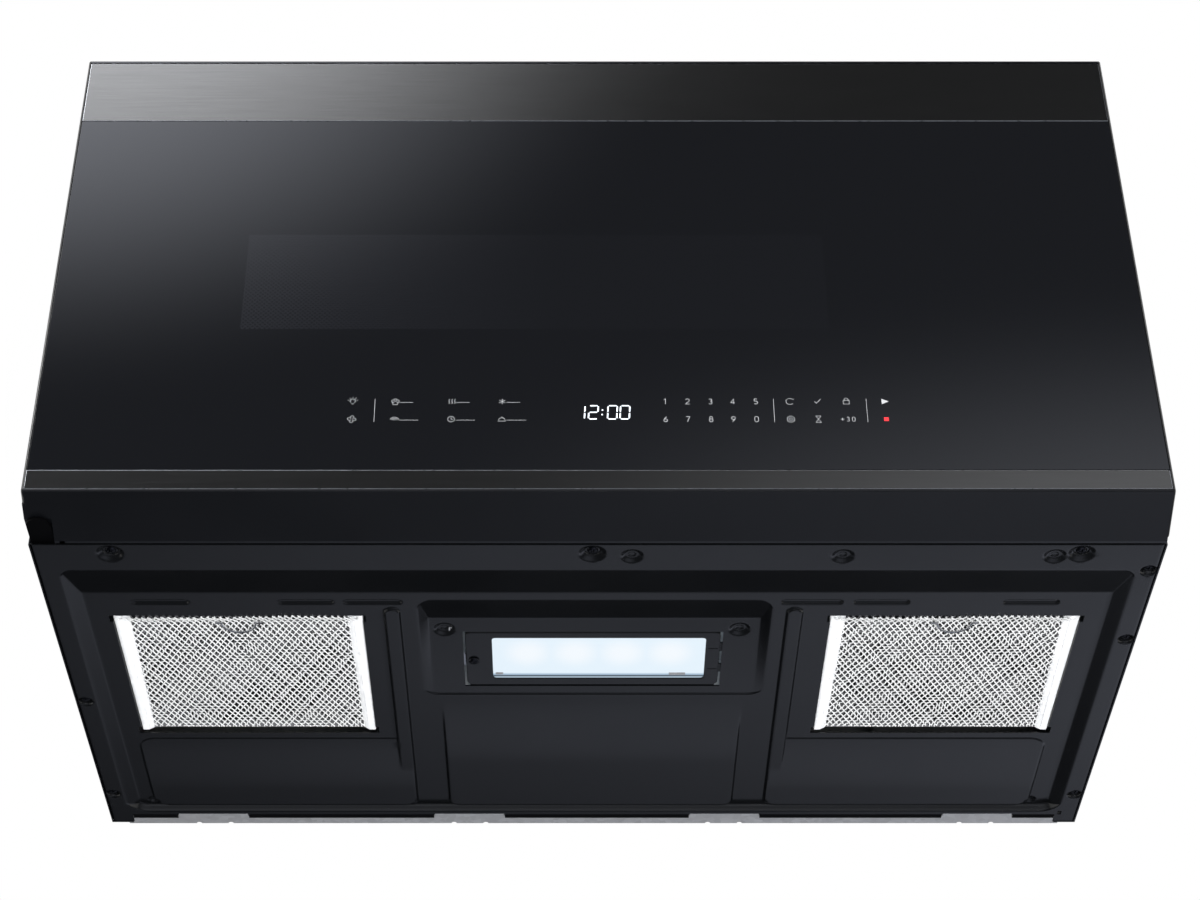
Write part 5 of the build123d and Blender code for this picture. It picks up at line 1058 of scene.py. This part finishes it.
# The CAD shell is cut off along its sloped underside, closed again, and given its lip.
moulding = bmesh.new()
moulding.from_mesh(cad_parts["door_shell"].data)
bmesh.ops.remove_doubles(moulding, verts=moulding.verts, dist=0.01 * mm)
below = Vector((0.0, -under_rise, -1.0)).normalized()
trimmed = bmesh.ops.bisect_plane(
    moulding, geom=moulding.verts[:] + moulding.edges[:] + moulding.faces[:], dist=0.001 * mm,
    plane_co=Vector((0.0, -door_rear * mm, 0.0)) + below * 0.03 * mm, plane_no=below, clear_outer=True,
)
rim_edges = [item for item in trimmed["geom_cut"] if isinstance(item, bmesh.types.BMEdge)]
bmesh.ops.triangle_fill(moulding, use_beauty=True, edges=rim_edges)
for left, right, reach, rear_top in (notch_filler, long_lip):
    profile = (
        (door_rear - lip_reach, lip_level), (door_rear + lip_step, lip_level),
        (door_rear + reach, reach * under_rise - under_gap),
        (door_rear + reach, arm_room), (door_rear - lip_reach, rear_top),
    )
    ends = [[moulding.verts.new((x * mm, -out * mm, z * mm)) for out, z in profile] for x in (left, right)]
    for corner in range(len(profile)):
        after = (corner + 1) % len(profile)
        moulding.faces.new((ends[0][corner], ends[1][corner], ends[1][after], ends[0][after]))
    moulding.faces.new(ends[0])
    moulding.faces.new(ends[1][::-1])
bmesh.ops.recalc_face_normals(moulding, faces=moulding.faces)

# Flat faces are shaded flat and the fillets between them smooth.
flat_ways = (Vector((1.0, 0.0, 0.0)), Vector((0.0, 1.0, 0.0)), Vector((0.0, 0.0, 1.0)), below)
for face in moulding.faces:
    face.smooth = max(abs(face.normal.dot(way)) for way in flat_ways) < 0.9995
mesh = bpy.data.meshes.new("door_shell_moulded")
moulding.to_mesh(mesh)
moulding.free()
mesh.materials.append(satin_abs)
door_shell = bpy.data.objects.new("door_shell_moulded", mesh)
bpy.context.scene.collection.objects.link(door_shell)
break_edges(door_shell, 0.5)
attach(door_shell, "door")
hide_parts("door_shell")

# ---- Door front: glass between two trims ----------------------------------------------------
# Float glass, printed black on its back and bonded to the shell, with brushed stainless trims
# clipped on above and below it. The window's pierced screen shows faintly through the print.
window_left, window_right, window_low, window_high = -246.0, 160.0, 152.0, 238.5
screen_pitch, screen_hole = 2.4, 0.32
fade_start, fade_end = -225.0, -30.0


def screen_web(tree, place):
    """1 on the web of the pierced screen and 0 in its staggered holes."""
    turned = add(
        tree, "Mapping", {"Rotation": (0.0, math.radians(45), 0.0), "Scale": [1 / (screen_pitch * mm)] * 3},
        {"Vector": place},
    )
    cell = add(tree, "VectorMath", {"operation": "FRACTION"}, {0: turned.outputs[0]})
    flat = add(tree, "VectorMath", {"operation": "MULTIPLY", 1: (1.0, 0.0, 1.0)}, {0: cell.outputs[0]})
    from_middle = add(tree, "VectorMath", {"operation": "DISTANCE", 1: (0.5, 0.0, 0.5)}, {0: flat.outputs[0]})
    web = add(tree, "Math", {"operation": "GREATER_THAN", 1: screen_hole}, {0: from_middle.outputs["Value"]})
    return web.outputs[0]


# Glass over black print is a dark mirror. The screen's web shows in it as a slightly paler field,
# most at the left. Its fade towards the right is painted light, following the light from the upper left.
printed_glass, tree, shader = new_finish(
    "black_printed_float_glass", {"Roughness": 0.06, "IOR": 1.52}
)
place = add(tree, "TexCoord").outputs["Object"]
apart = add(tree, "SeparateXYZ", links={"Vector": place})
in_window = None
for axis, low, high in (("X", window_left, window_right), ("Z", window_low, window_high)):
    half, centre = (high - low) / 2 * mm, (high + low) / 2 * mm
    within = add(tree, "Math", {"operation": "COMPARE", 1: centre, 2: half}, {0: apart.outputs[axis]})
    if in_window is None:
        in_window = within.outputs[0]
    else:
        both = add(tree, "Math", {"operation": "MULTIPLY"}, {0: in_window, 1: within.outputs[0]})
        in_window = both.outputs[0]
web = add(tree, "Math", {"operation": "MULTIPLY"}, {0: screen_web(tree, place), 1: in_window})
light_fade = add(
    tree, "MapRange",
    {"From Min": fade_start * mm, "From Max": fade_end * mm, "To Min": 1.0, "To Max": 0.16},
    {"Value": apart.outputs["X"]},
)
shown = add(tree, "Math", {"operation": "MULTIPLY"}, {0: web.outputs[0], 1: light_fade.outputs[0]})
glass_tone = add(
    tree, "Mix", {"data_type": "RGBA", 6: linear("0d0e11"), 7: linear("1a1b1f")}, {0: shown.outputs[0]}
)
tree.links.new(glass_tone.outputs[2], shader.inputs["Base Color"])
dress("front_glass", printed_glass, edge=0.4)

# Brush lines run along the trim. Real ones are 0.1 mm apart, and are drawn 0.5 mm apart.
brushed_steel, tree, shader = new_finish(
    "dark_stainless_brushed", {"Metallic": 1.0, "Anisotropic": 0.4, "Anisotropic Rotation": 0.25}
)
place = add(tree, "TexCoord").outputs["Object"]
stretched = add(tree, "Mapping", {"Scale": (1 / (45 * mm), 1 / (2 * mm), 1 / (0.5 * mm))}, {"Vector": place})
brush = add(
    tree, "TexNoise", {"Scale": 1.0, "Detail": 4.0, "Roughness": 0.65}, {"Vector": stretched.outputs[0]}
)
steel_tone = add(
    tree, "Mix", {"data_type": "RGBA", 6: linear("565552"), 7: linear("6e6d6a")}, {0: brush.outputs[0]}
)
steel_gloss = add(tree, "MapRange", {"To Min": 0.12, "To Max": 0.18}, {"Value": brush.outputs[0]})
brush_bump = add(tree, "Bump", {"Strength": 0.35, "Distance": 0.04 * mm}, {"Height": brush.outputs[0]})
tree.links.new(steel_tone.outputs[2], shader.inputs["Base Color"])
tree.links.new(steel_gloss.outputs[0], shader.inputs["Roughness"])
tree.links.new(brush_bump.outputs[0], shader.inputs["Normal"])

# The trims' edges are cut after brushing, so they are bright and catch the light as thin lines.
cut_steel, tree, shader = new_finish("stainless_diamond_cut_edge", {"Metallic": 1.0})
place = add(tree, "TexCoord").outputs["Object"]
cutter = add(tree, "TexNoise", {"Scale": 1 / (3 * mm), "Detail": 1.0}, {"Vector": place})
cut_gloss = add(tree, "MapRange", {"To Min": 0.24, "To Max": 0.34}, {"Value": cutter.outputs[0]})
cut_tone = add(
    tree, "Mix", {"data_type": "RGBA", 6: linear("b4b6ba"), 7: linear("d5d7da")}, {0: cutter.outputs[0]}
)
tree.links.new(cut_gloss.outputs[0], shader.inputs["Roughness"])
tree.links.new(cut_tone.outputs[2], shader.inputs["Base Color"])
for trim in ("top_trim", "bottom_trim"):
    dress(trim, brushed_steel, edge=0.55)
    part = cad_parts[trim]
    part.data.materials.append(cut_steel)
    part.modifiers["broken_edges"].material = 1

# ---- Inside of the door ---------------------------------------------------------------------
# Plated pan with its choke channel under a moulded cover, the pierced window screen with a clear
# inner pane, and the latch bar with its spring.
dress("door_pan", zinc_plated, edge=0.25)
dress("choke_cover", black_nylon, edge=0.4)

# The screen is punched sheet coated black. Its holes are painted darker still: painted shade seen through
# them.
pierced_sheet, tree, shader = new_finish("black_pierced_sheet", {"Roughness": 0.5, "IOR": 1.5})
place = add(tree, "TexCoord").outputs["Object"]
web_and_hole_shade = add(
    tree, "Mix", {"data_type": "RGBA", 6: linear("040405"), 7: linear("202125")}, {0: screen_web(tree, place)}
)
tree.links.new(web_and_hole_shade.outputs[2], shader.inputs["Base Color"])
dress("window_screen", pierced_sheet, edge=0)
dress("inner_pane", pressed_glass, edge=0.3)
dress("display_module", black_nylon, edge=0.3)
dress("latch_bar", white_nylon, edge=0.3)
dress("latch_spring", spring_wire, edge=0)

# ---- Touch legend and clock -----------------------------------------------------------------
# Pale signs printed on the glass and lit from behind: plain digits and small pictures. The clock's
# digits are seven lit strokes each.
glass_front = -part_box("front_glass")[0].y / mm
print_lift = 0.06

# Printed ink is matt, and the light behind it lets the signs glow faintly.
legend_grey, tree, shader = new_finish("legend_ink_printed", {"Roughness": 0.4, "Emission Strength": 0.3})
mottled(tree, shader, "a6a7aa", "bcbdc0", patch_mm=2.0, detail=1.0, glows=True)
stop_red, tree, shader = new_finish("stop_ink_printed", {"Roughness": 0.4, "Emission Strength": 0.5})
mottled(tree, shader, "c8232a", "d8343a", patch_mm=2.0, detail=1.0, glows=True)

# The clock's diodes shine through it at full strength, nearly white.
clock_light, tree, shader = new_finish("clock_segments_lit", {"Roughness": 0.4, "Emission Strength": 1.0})
mottled(tree, shader, "dfe9f5", "f7fbff", patch_mm=3.0, detail=1.0, glows=True)


class Legend:
    """Flat printed strokes on the glass, gathered into one piece."""

    def __init__(self, size=1.0):
        self.points, self.faces = [], []
        self.size = size

    def spot(self, x, z, path):
        """A path at the legend's size, placed at x, z."""
        return [Vector((x + self.size * a, z + self.size * b)) for a, b in path]

    def stroke(self, x, z, path, width, closed=False):
        """A ribbon of this width in millimetres along a path."""
        spots = self.spot(x, z, path)
        if closed:
            spots.append(spots[0])
        first = len(self.points)
        last = len(spots) - 1
        for index, spot in enumerate(spots):
            ways = []
            if index or closed:
                ways.append((spot - spots[index - 1 if index else -2]).normalized())
            if index < last or closed:
                ways.append((spots[index + 1 if index < last else 1] - spot).normalized())
            along = sum(ways, Vector((0, 0))).normalized()
            side = Vector((-along.y, along.x))
            share = max(0.5, side.dot(Vector((-ways[0].y, ways[0].x))))
            for hand in (-0.5, 0.5):
                edge = spot + side * (hand * width / share)
                self.points.append((edge.x, -(glass_front + print_lift), edge.y))
        for index in range(last):
            a = first + 2 * index
            self.faces.append((a, a + 2, a + 3, a + 1))

    def patch(self, x, z, path):
        """A filled outline, given the right way round."""
        first = len(self.points)
        self.points.extend((spot.x, -(glass_front + print_lift), spot.y) for spot in self.spot(x, z, path))
        self.faces.append(tuple(range(first, first + len(path))))

    def piece(self, name, finish):
        """Makes the legend's piece, which rides on the door."""
        made = new_piece(name, self.points, self.faces, [finish], smooth=False)
        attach(made, "door")


def arc(centre_x, centre_z, radius, start, end, steps=8, flat=1.0):
    """Points along an arc; angles in degrees, flat squeezes it in height."""
    return [
        (centre_x + radius * math.cos(math.radians(start + (end - start) * i / steps)),
         centre_z + flat * radius * math.sin(math.radians(start + (end - start) * i / steps)))
        for i in range(steps + 1)
    ]


digit_paths = {
    "0": [arc(0, 0.75, 0.85, 0, 180, flat=0.9) + arc(0, -0.75, 0.85, 180, 360, flat=0.9) + [(0.85, 0.75)]],
    "1": [[(-0.6, 1.0), (0.15, 1.5), (0.15, -1.5)]],
    "2": [arc(0, 0.7, 0.85, 160, -35) + [(-0.9, -1.5), (0.95, -1.5)]],
    "3": [arc(-0.05, 0.75, 0.72, 150, -80) + arc(-0.05, -0.72, 0.8, 80, -150)],
    "4": [[(0.45, -1.5), (0.45, 1.5), (-0.95, -0.7), (0.95, -0.7)]],
    "5": [[(0.75, 1.5), (-0.6, 1.5), (-0.7, 0.25)] + arc(-0.02, -0.6, 0.9, 120, -140)],
    "6": [[(0.5, 1.5), (-0.45, 0.4)] + arc(0, -0.65, 0.85, 150, -210, steps=14)],
    "7": [[(-0.85, 1.5), (0.85, 1.5), (-0.25, -1.5)]],
    "8": [arc(0, 0.8, 0.7, 270, -90, steps=12), arc(0, -0.7, 0.85, 90, 450, steps=12)],
    "9": [[(-0.5, -1.5), (0.45, -0.4)] + arc(0, 0.65, 0.85, -30, 330, steps=14)],
}
upper_row, lower_row = 88.9, 73.9
digit_columns, digit_size = (45.5, 60.5, 76.0, 91.0, 106.5), 1.45
dividers, divider_low, divider_high = (-150.0, 118.5, 181.0), 71.5, 91.0
sign_size, digit_stroke, sign_stroke, thin_stroke, divider_stroke = 1.35, 0.33, 0.26, 0.22, 0.24
bulb_stroke, fan_stroke, tick_stroke, more_stroke = 0.27, 0.25, 0.3, 0.28
light_x, ring_x, tick_x, lock_x, start_x = -165.0, 129.5, 148.0, 167.5, 193.5

legend = Legend(digit_size)
for row_z, row_digits in ((upper_row, "12345"), (lower_row, "67890")):
    for column_x, digit in zip(digit_columns, row_digits):
        for path in digit_paths[digit]:
            legend.stroke(column_x, row_z, path, digit_stroke)
legend.size = sign_size
for divider_x in dividers:
    ends = [(0, divider_low / sign_size), (0, divider_high / sign_size)]
    legend.stroke(divider_x, 0, ends, divider_stroke)

# A bulb with five rays, and a fan wheel with four blades.
legend.stroke(light_x, upper_row, arc(0, 0.3, 1.3, -50, 230), bulb_stroke)
legend.stroke(light_x, upper_row, [(-0.6, -1.5), (0.6, -1.5)], bulb_stroke)
for ray in range(5):
    tip = math.radians(10 + 40 * ray)
    ends = [(reach * math.cos(tip), 0.3 + reach * math.sin(tip)) for reach in (2.0, 2.7)]
    legend.stroke(light_x, upper_row, ends, thin_stroke)
for blade in range(4):
    turn = math.radians(90 * blade)
    petal = [
        (a * math.cos(turn) - b * math.sin(turn), a * math.sin(turn) + b * math.cos(turn))
        for a, b in arc(0.2, 1.3, 0.85, -90, 200)
    ]
    legend.stroke(light_x, lower_row, petal, fan_stroke)

# Six food programs, each a small picture with a bar after it.
corn_cob = [
    arc(0, 0.9, 0.8, 0, 360), arc(-1.1, 0.2, 0.8, 60, 320), arc(1.1, 0.2, 0.8, -140, 120),
    [(-1.5, -0.5), (-1.0, -2.0), (1.0, -2.0), (1.5, -0.5)],
]
steam = [[(x, -1.5), (x + 0.45, -0.6), (x - 0.1, 0.4), (x + 0.4, 1.5)] for x in (-1.4, 0.0, 1.4)]
snowflake = [
    [(hand * 1.8 * math.cos(turn), hand * 1.8 * math.sin(turn)) for hand in (-1, 1)]
    for turn in (math.pi / 6, math.pi / 2, 5 * math.pi / 6)
]
sensor = [arc(0, -1.0, radius, 20, 160) for radius in (0.7, 1.5, 2.3)]
timer = [arc(0, 0, 1.7, 0, 360, steps=16), [(0, 1.0), (0, 0), (0.8, -0.4)]]
warm_dish = [[(-2.0, -1.2), (2.0, -1.2)], arc(0, -0.7, 1.6, 0, 180), [(0, 1.0), (0, 1.6)]]
picture_shift, bar_shift, bar_drop = 2.2, 5.2, -0.6
for row_z, bar_length, pictures in (
    (upper_row, 9.0, (corn_cob, steam, snowflake)), (lower_row, 13.0, (sensor, timer, warm_dish)),
):
    for column_x, paths in zip((-138.5, -100.5, -66.5), pictures):
        for path in paths:
            legend.stroke(column_x + picture_shift, row_z, path, sign_stroke)
        bar = [(0.0, bar_drop), (bar_length / sign_size, bar_drop)]
        legend.stroke(column_x + bar_shift, row_z, bar, thin_stroke)

# A turning plate, a tick and a lock in the upper row.
legend.stroke(ring_x, upper_row, arc(0, 0, 1.9, 40, 320, steps=14), sign_stroke)
legend.stroke(ring_x, upper_row, [(0.9, 1.9), (1.5, 1.2), (2.3, 1.7)], sign_stroke)
legend.stroke(tick_x, upper_row, [(-1.4, 0.1), (-0.4, -1.1), (1.7, 1.5)], tick_stroke)
lock_body = [(-1.5, -1.6), (1.5, -1.6), (1.5, 0.6), (-1.5, 0.6)]
legend.stroke(lock_x, upper_row, lock_body, sign_stroke, closed=True)
legend.stroke(lock_x, upper_row, [(-0.95, 0.6)] + arc(0, 1.2, 0.95, 180, 0) + [(0.95, 0.6)], sign_stroke)

# A nut, an hourglass and half a minute more in the lower row, and the start sign.
plus_x, more_digits = 164.1, ((167.9, "3"), (171.6, "0"))
legend.stroke(ring_x, lower_row, arc(0, 0, 2.0, 30, 390, steps=6), sign_stroke)
legend.stroke(ring_x, lower_row, arc(0, 0, 0.8, 0, 360, steps=10), thin_stroke)
hourglass = [(-1.3, 2.0), (1.3, 2.0), (-1.3, -2.0), (1.3, -2.0)]
legend.stroke(tick_x, lower_row, hourglass, sign_stroke, closed=True)
legend.stroke(plus_x, lower_row, [(-0.9, 0), (0.9, 0)], more_stroke)
legend.stroke(plus_x, lower_row, [(0, -0.9), (0, 0.9)], more_stroke)
for column_x, digit in more_digits:
    for path in digit_paths[digit]:
        legend.stroke(column_x, lower_row, [(0.8 * a, 0.9 * b) for a, b in path], more_stroke)
legend.patch(start_x, upper_row, [(-1.6, -1.7), (1.9, 0.0), (-1.6, 1.7)])
legend.piece("legend_signs", legend_grey)

stop_half = 1.6
stop_sign = Legend()
stop_sign.patch(
    start_x, lower_row,
    [(-stop_half, -stop_half), (stop_half, -stop_half), (stop_half, stop_half), (-stop_half, stop_half)],
)
stop_sign.piece("legend_stop", stop_red)

# Seven strokes of a lit digit: its side and height in the cell, from -1 to 1, and if it is level.
clock_strokes = {
    "a": (0, 1, 1), "b": (1, 0.5, 0), "c": (1, -0.5, 0), "d": (0, -1, 1), "e": (-1, -0.5, 0),
    "f": (-1, 0.5, 0), "g": (0, 0, 1),
}
clock_digits = {"1": "bc", "2": "abged", "0": "abcdef"}
half_width, half_height, lean, stroke_gap = 3.1, 5.6, 0.05, 0.62
clock_stroke, colon_stroke, colon_x, colon_rise, colon_half = 0.85, 0.95, 3.1, 1.9, 0.5
clock_middle = (upper_row + lower_row) / 2 - 1.7
clock = Legend()
for clock_x, digit in ((-11.8, "1"), (-2.9, "2"), (9.9, "0"), (18.3, "0")):
    for name in clock_digits[digit]:
        side, rise, level = clock_strokes[name]
        length = (half_width if level else half_height / 2) - stroke_gap
        run = [(-length, 0), (length, 0)] if level else [(0, -length), (0, length)]
        path = [(side * half_width + a, rise * half_height + b) for a, b in run]
        clock.stroke(clock_x, clock_middle, [(a + lean * b, b) for a, b in path], clock_stroke)
for dot in (-colon_rise, colon_rise):
    path = [(lean * dot, -colon_half), (lean * dot, colon_half)]
    clock.stroke(colon_x, clock_middle + dot, path, colon_stroke)
clock.piece("clock_digits_lit", clock_light)

# ---- Studio ---------------------------------------------------------------------------------
# A matt floor of pale paper under the oven, a white surround and three soft lamps. Three dim boards
# are seen only in gloss: they give the glass and the coat the soft shades of black goods.

# Paper is matt and even, with a slow, faint cloud in its tone.
pale_floor, tree, shader = new_finish("floor_paper_matt", {"Roughness": 0.9, "Specular IOR Level": 0.2})
mottled(tree, shader, "ededeb", "f3f3f1", patch_mm=40.0, detail=4.0)
floor_level, floor_half = -2400.0, 9000.0
floor = new_piece(
    "studio_floor",
    [(-floor_half, -floor_half, floor_level), (floor_half, -floor_half, floor_level),
     (floor_half, floor_half, floor_level), (-floor_half, floor_half, floor_level)],
    [(0, 1, 2, 3)], [pale_floor], smooth=False,
)

world = bpy.data.worlds.new("studio_surround")
bpy.context.scene.world = world
world.use_nodes = True
tree = world.node_tree
surround = tree.nodes["Background"]
surround.inputs["Color"].default_value = linear("ffffff")
seen = add(tree, "LightPath").outputs
seen_or_gloss = add(
    tree, "Math", {"operation": "MAXIMUM"}, {0: seen["Is Camera Ray"], 1: seen["Is Glossy Ray"]}
)
seen_at_all = add(
    tree, "Math", {"operation": "MAXIMUM"}, {0: seen_or_gloss.outputs[0], 1: seen["Is Transmission Ray"]}
)
fill = 0.55
surround_level = add(tree, "MapRange", {"To Min": fill, "To Max": 1.0}, {"Value": seen_at_all.outputs[0]})
tree.links.new(surround_level.outputs[0], surround.inputs["Strength"])


def gloss_board(name, corners, tint, base_glow, spots):
    """A board that only reflections see. Its spots have a middle and reach in metres, and a strength."""
    finish = bpy.data.materials.new(name)
    finish.use_nodes = True
    tree = finish.node_tree
    tree.nodes.clear()
    place = add(tree, "NewGeometry").outputs["Position"]
    glow = None
    for middle, reach, strength in spots:
        offset = add(tree, "VectorMath", {"operation": "SUBTRACT", 1: middle}, {0: place})
        share = add(tree, "VectorMath", {"operation": "DIVIDE", 1: reach}, {0: offset.outputs[0]})
        far = add(tree, "VectorMath", {"operation": "LENGTH"}, {0: share.outputs[0]})
        soft = add(
            tree, "MapRange",
            {"interpolation_type": "SMOOTHERSTEP", "From Min": 1.0, "From Max": 0.0, "To Max": strength},
            {"Value": far.outputs["Value"]},
        )
        if glow is None:
            glow = add(tree, "Math", {"operation": "ADD", 1: base_glow}, {0: soft.outputs[0]}).outputs[0]
        else:
            glow = add(tree, "Math", {"operation": "ADD"}, {0: glow, 1: soft.outputs[0]}).outputs[0]
    light = add(tree, "Emission", {"Color": linear(tint)}, {"Strength": glow})
    add(tree, "OutputMaterial", links={"Surface": light.outputs[0]})
    board = new_piece(name, corners, [(0, 1, 2, 3)], [finish], smooth=False)
    board.visible_camera = False
    board.visible_diffuse = False
    board.visible_transmission = False
    board.visible_shadow = False


front_y, rear_y, foot, lowest = -3200.0, 2500.0, floor_level + 10.0, floor_level + 5.0
wide, wider, low_top, high_top = 4000.0, 5000.0, 900.0, 6000.0
gloss_board(
    "studio_board_front",
    [(-wider, front_y, foot), (wider, front_y, foot),
     (wider, front_y, high_top), (-wider, front_y, high_top)],
    "f0f4ff", 0.10,
    [
        ((-1.3, -3.2, 3.3), (1.6, 1.0, 1.15), 3.3), ((-1.4, -3.2, 4.1), (2.3, 1.0, 0.9), 9.5),
        ((1.5, -3.2, 1.75), (2.2, 1.0, 0.9), 1.15), ((0.0, -3.2, -1.35), (5.0, 1.0, 0.8), 0.9),
    ],
)
gloss_board(
    "studio_board_rear",
    [(-wide, rear_y, foot), (wide, rear_y, foot), (wide, rear_y, low_top), (-wide, rear_y, low_top)],
    "e6ecff", 0.01,
    [
        ((0.0, 2.5, -2.05), (5.0, 1.0, 1.08), 0.26), ((0.05, 2.5, -2.05), (1.4, 1.0, 1.05), 0.27),
        ((2.4, 2.5, -1.65), (2.8, 1.0, 1.05), 0.98),
    ],
)
gloss_board(
    "studio_board_below",
    [(-wide, front_y, lowest), (wide, front_y, lowest), (wide, rear_y, lowest), (-wide, rear_y, lowest)],
    "e6ecff", 0.04, [((1.1, -0.6, -2.395), (2.3, 2.2, 1.0), 0.48)],
)


def soft_lamp(name, place, target, size, power):
    """A square soft box that looks at a point."""
    lamp = bpy.data.lights.new(name, "AREA")
    lamp.size = size
    lamp.energy = power
    holder = bpy.data.objects.new(name, lamp)
    holder.location = place
    holder.rotation_euler = (Vector(target) - Vector(place)).to_track_quat("-Z", "Y").to_euler()
    bpy.context.scene.collection.objects.link(holder)
    return holder


below_front = soft_lamp("lamp_below_front", (0.4, -2.3, -1.5), (0, -0.25, 0.0), 1.2, 90)
below_front.visible_glossy = False
soft_lamp("lamp_above_left", (-2.0, -1.6, 2.4), (0, -0.2, 0.3), 1.6, 60)
rear_right = soft_lamp("lamp_rear_right", (2.2, 1.8, 1.4), (0, -0.2, 0.2), 1.4, 35)
rear_right.visible_glossy = False

# ---- Camera ---------------------------------------------------------------------------------
# It looks up at the front and the underside from below the oven's level, and its small shift
# sets the oven in the middle of the picture.
camera = bpy.data.objects.new("camera", bpy.data.cameras.new("camera"))
camera.location = (-0.01886, -1.7684, -0.9494)
camera.rotation_euler = (math.radians(126.67), 0, 0)
camera.data.lens = 75.442
camera.data.sensor_width = 36.0
camera.data.shift_x = 0.0253
camera.data.clip_end = 60.0
bpy.context.scene.collection.objects.link(camera)
bpy.context.scene.camera = camera
bpy.context.scene.view_settings.view_transform = "Standard"
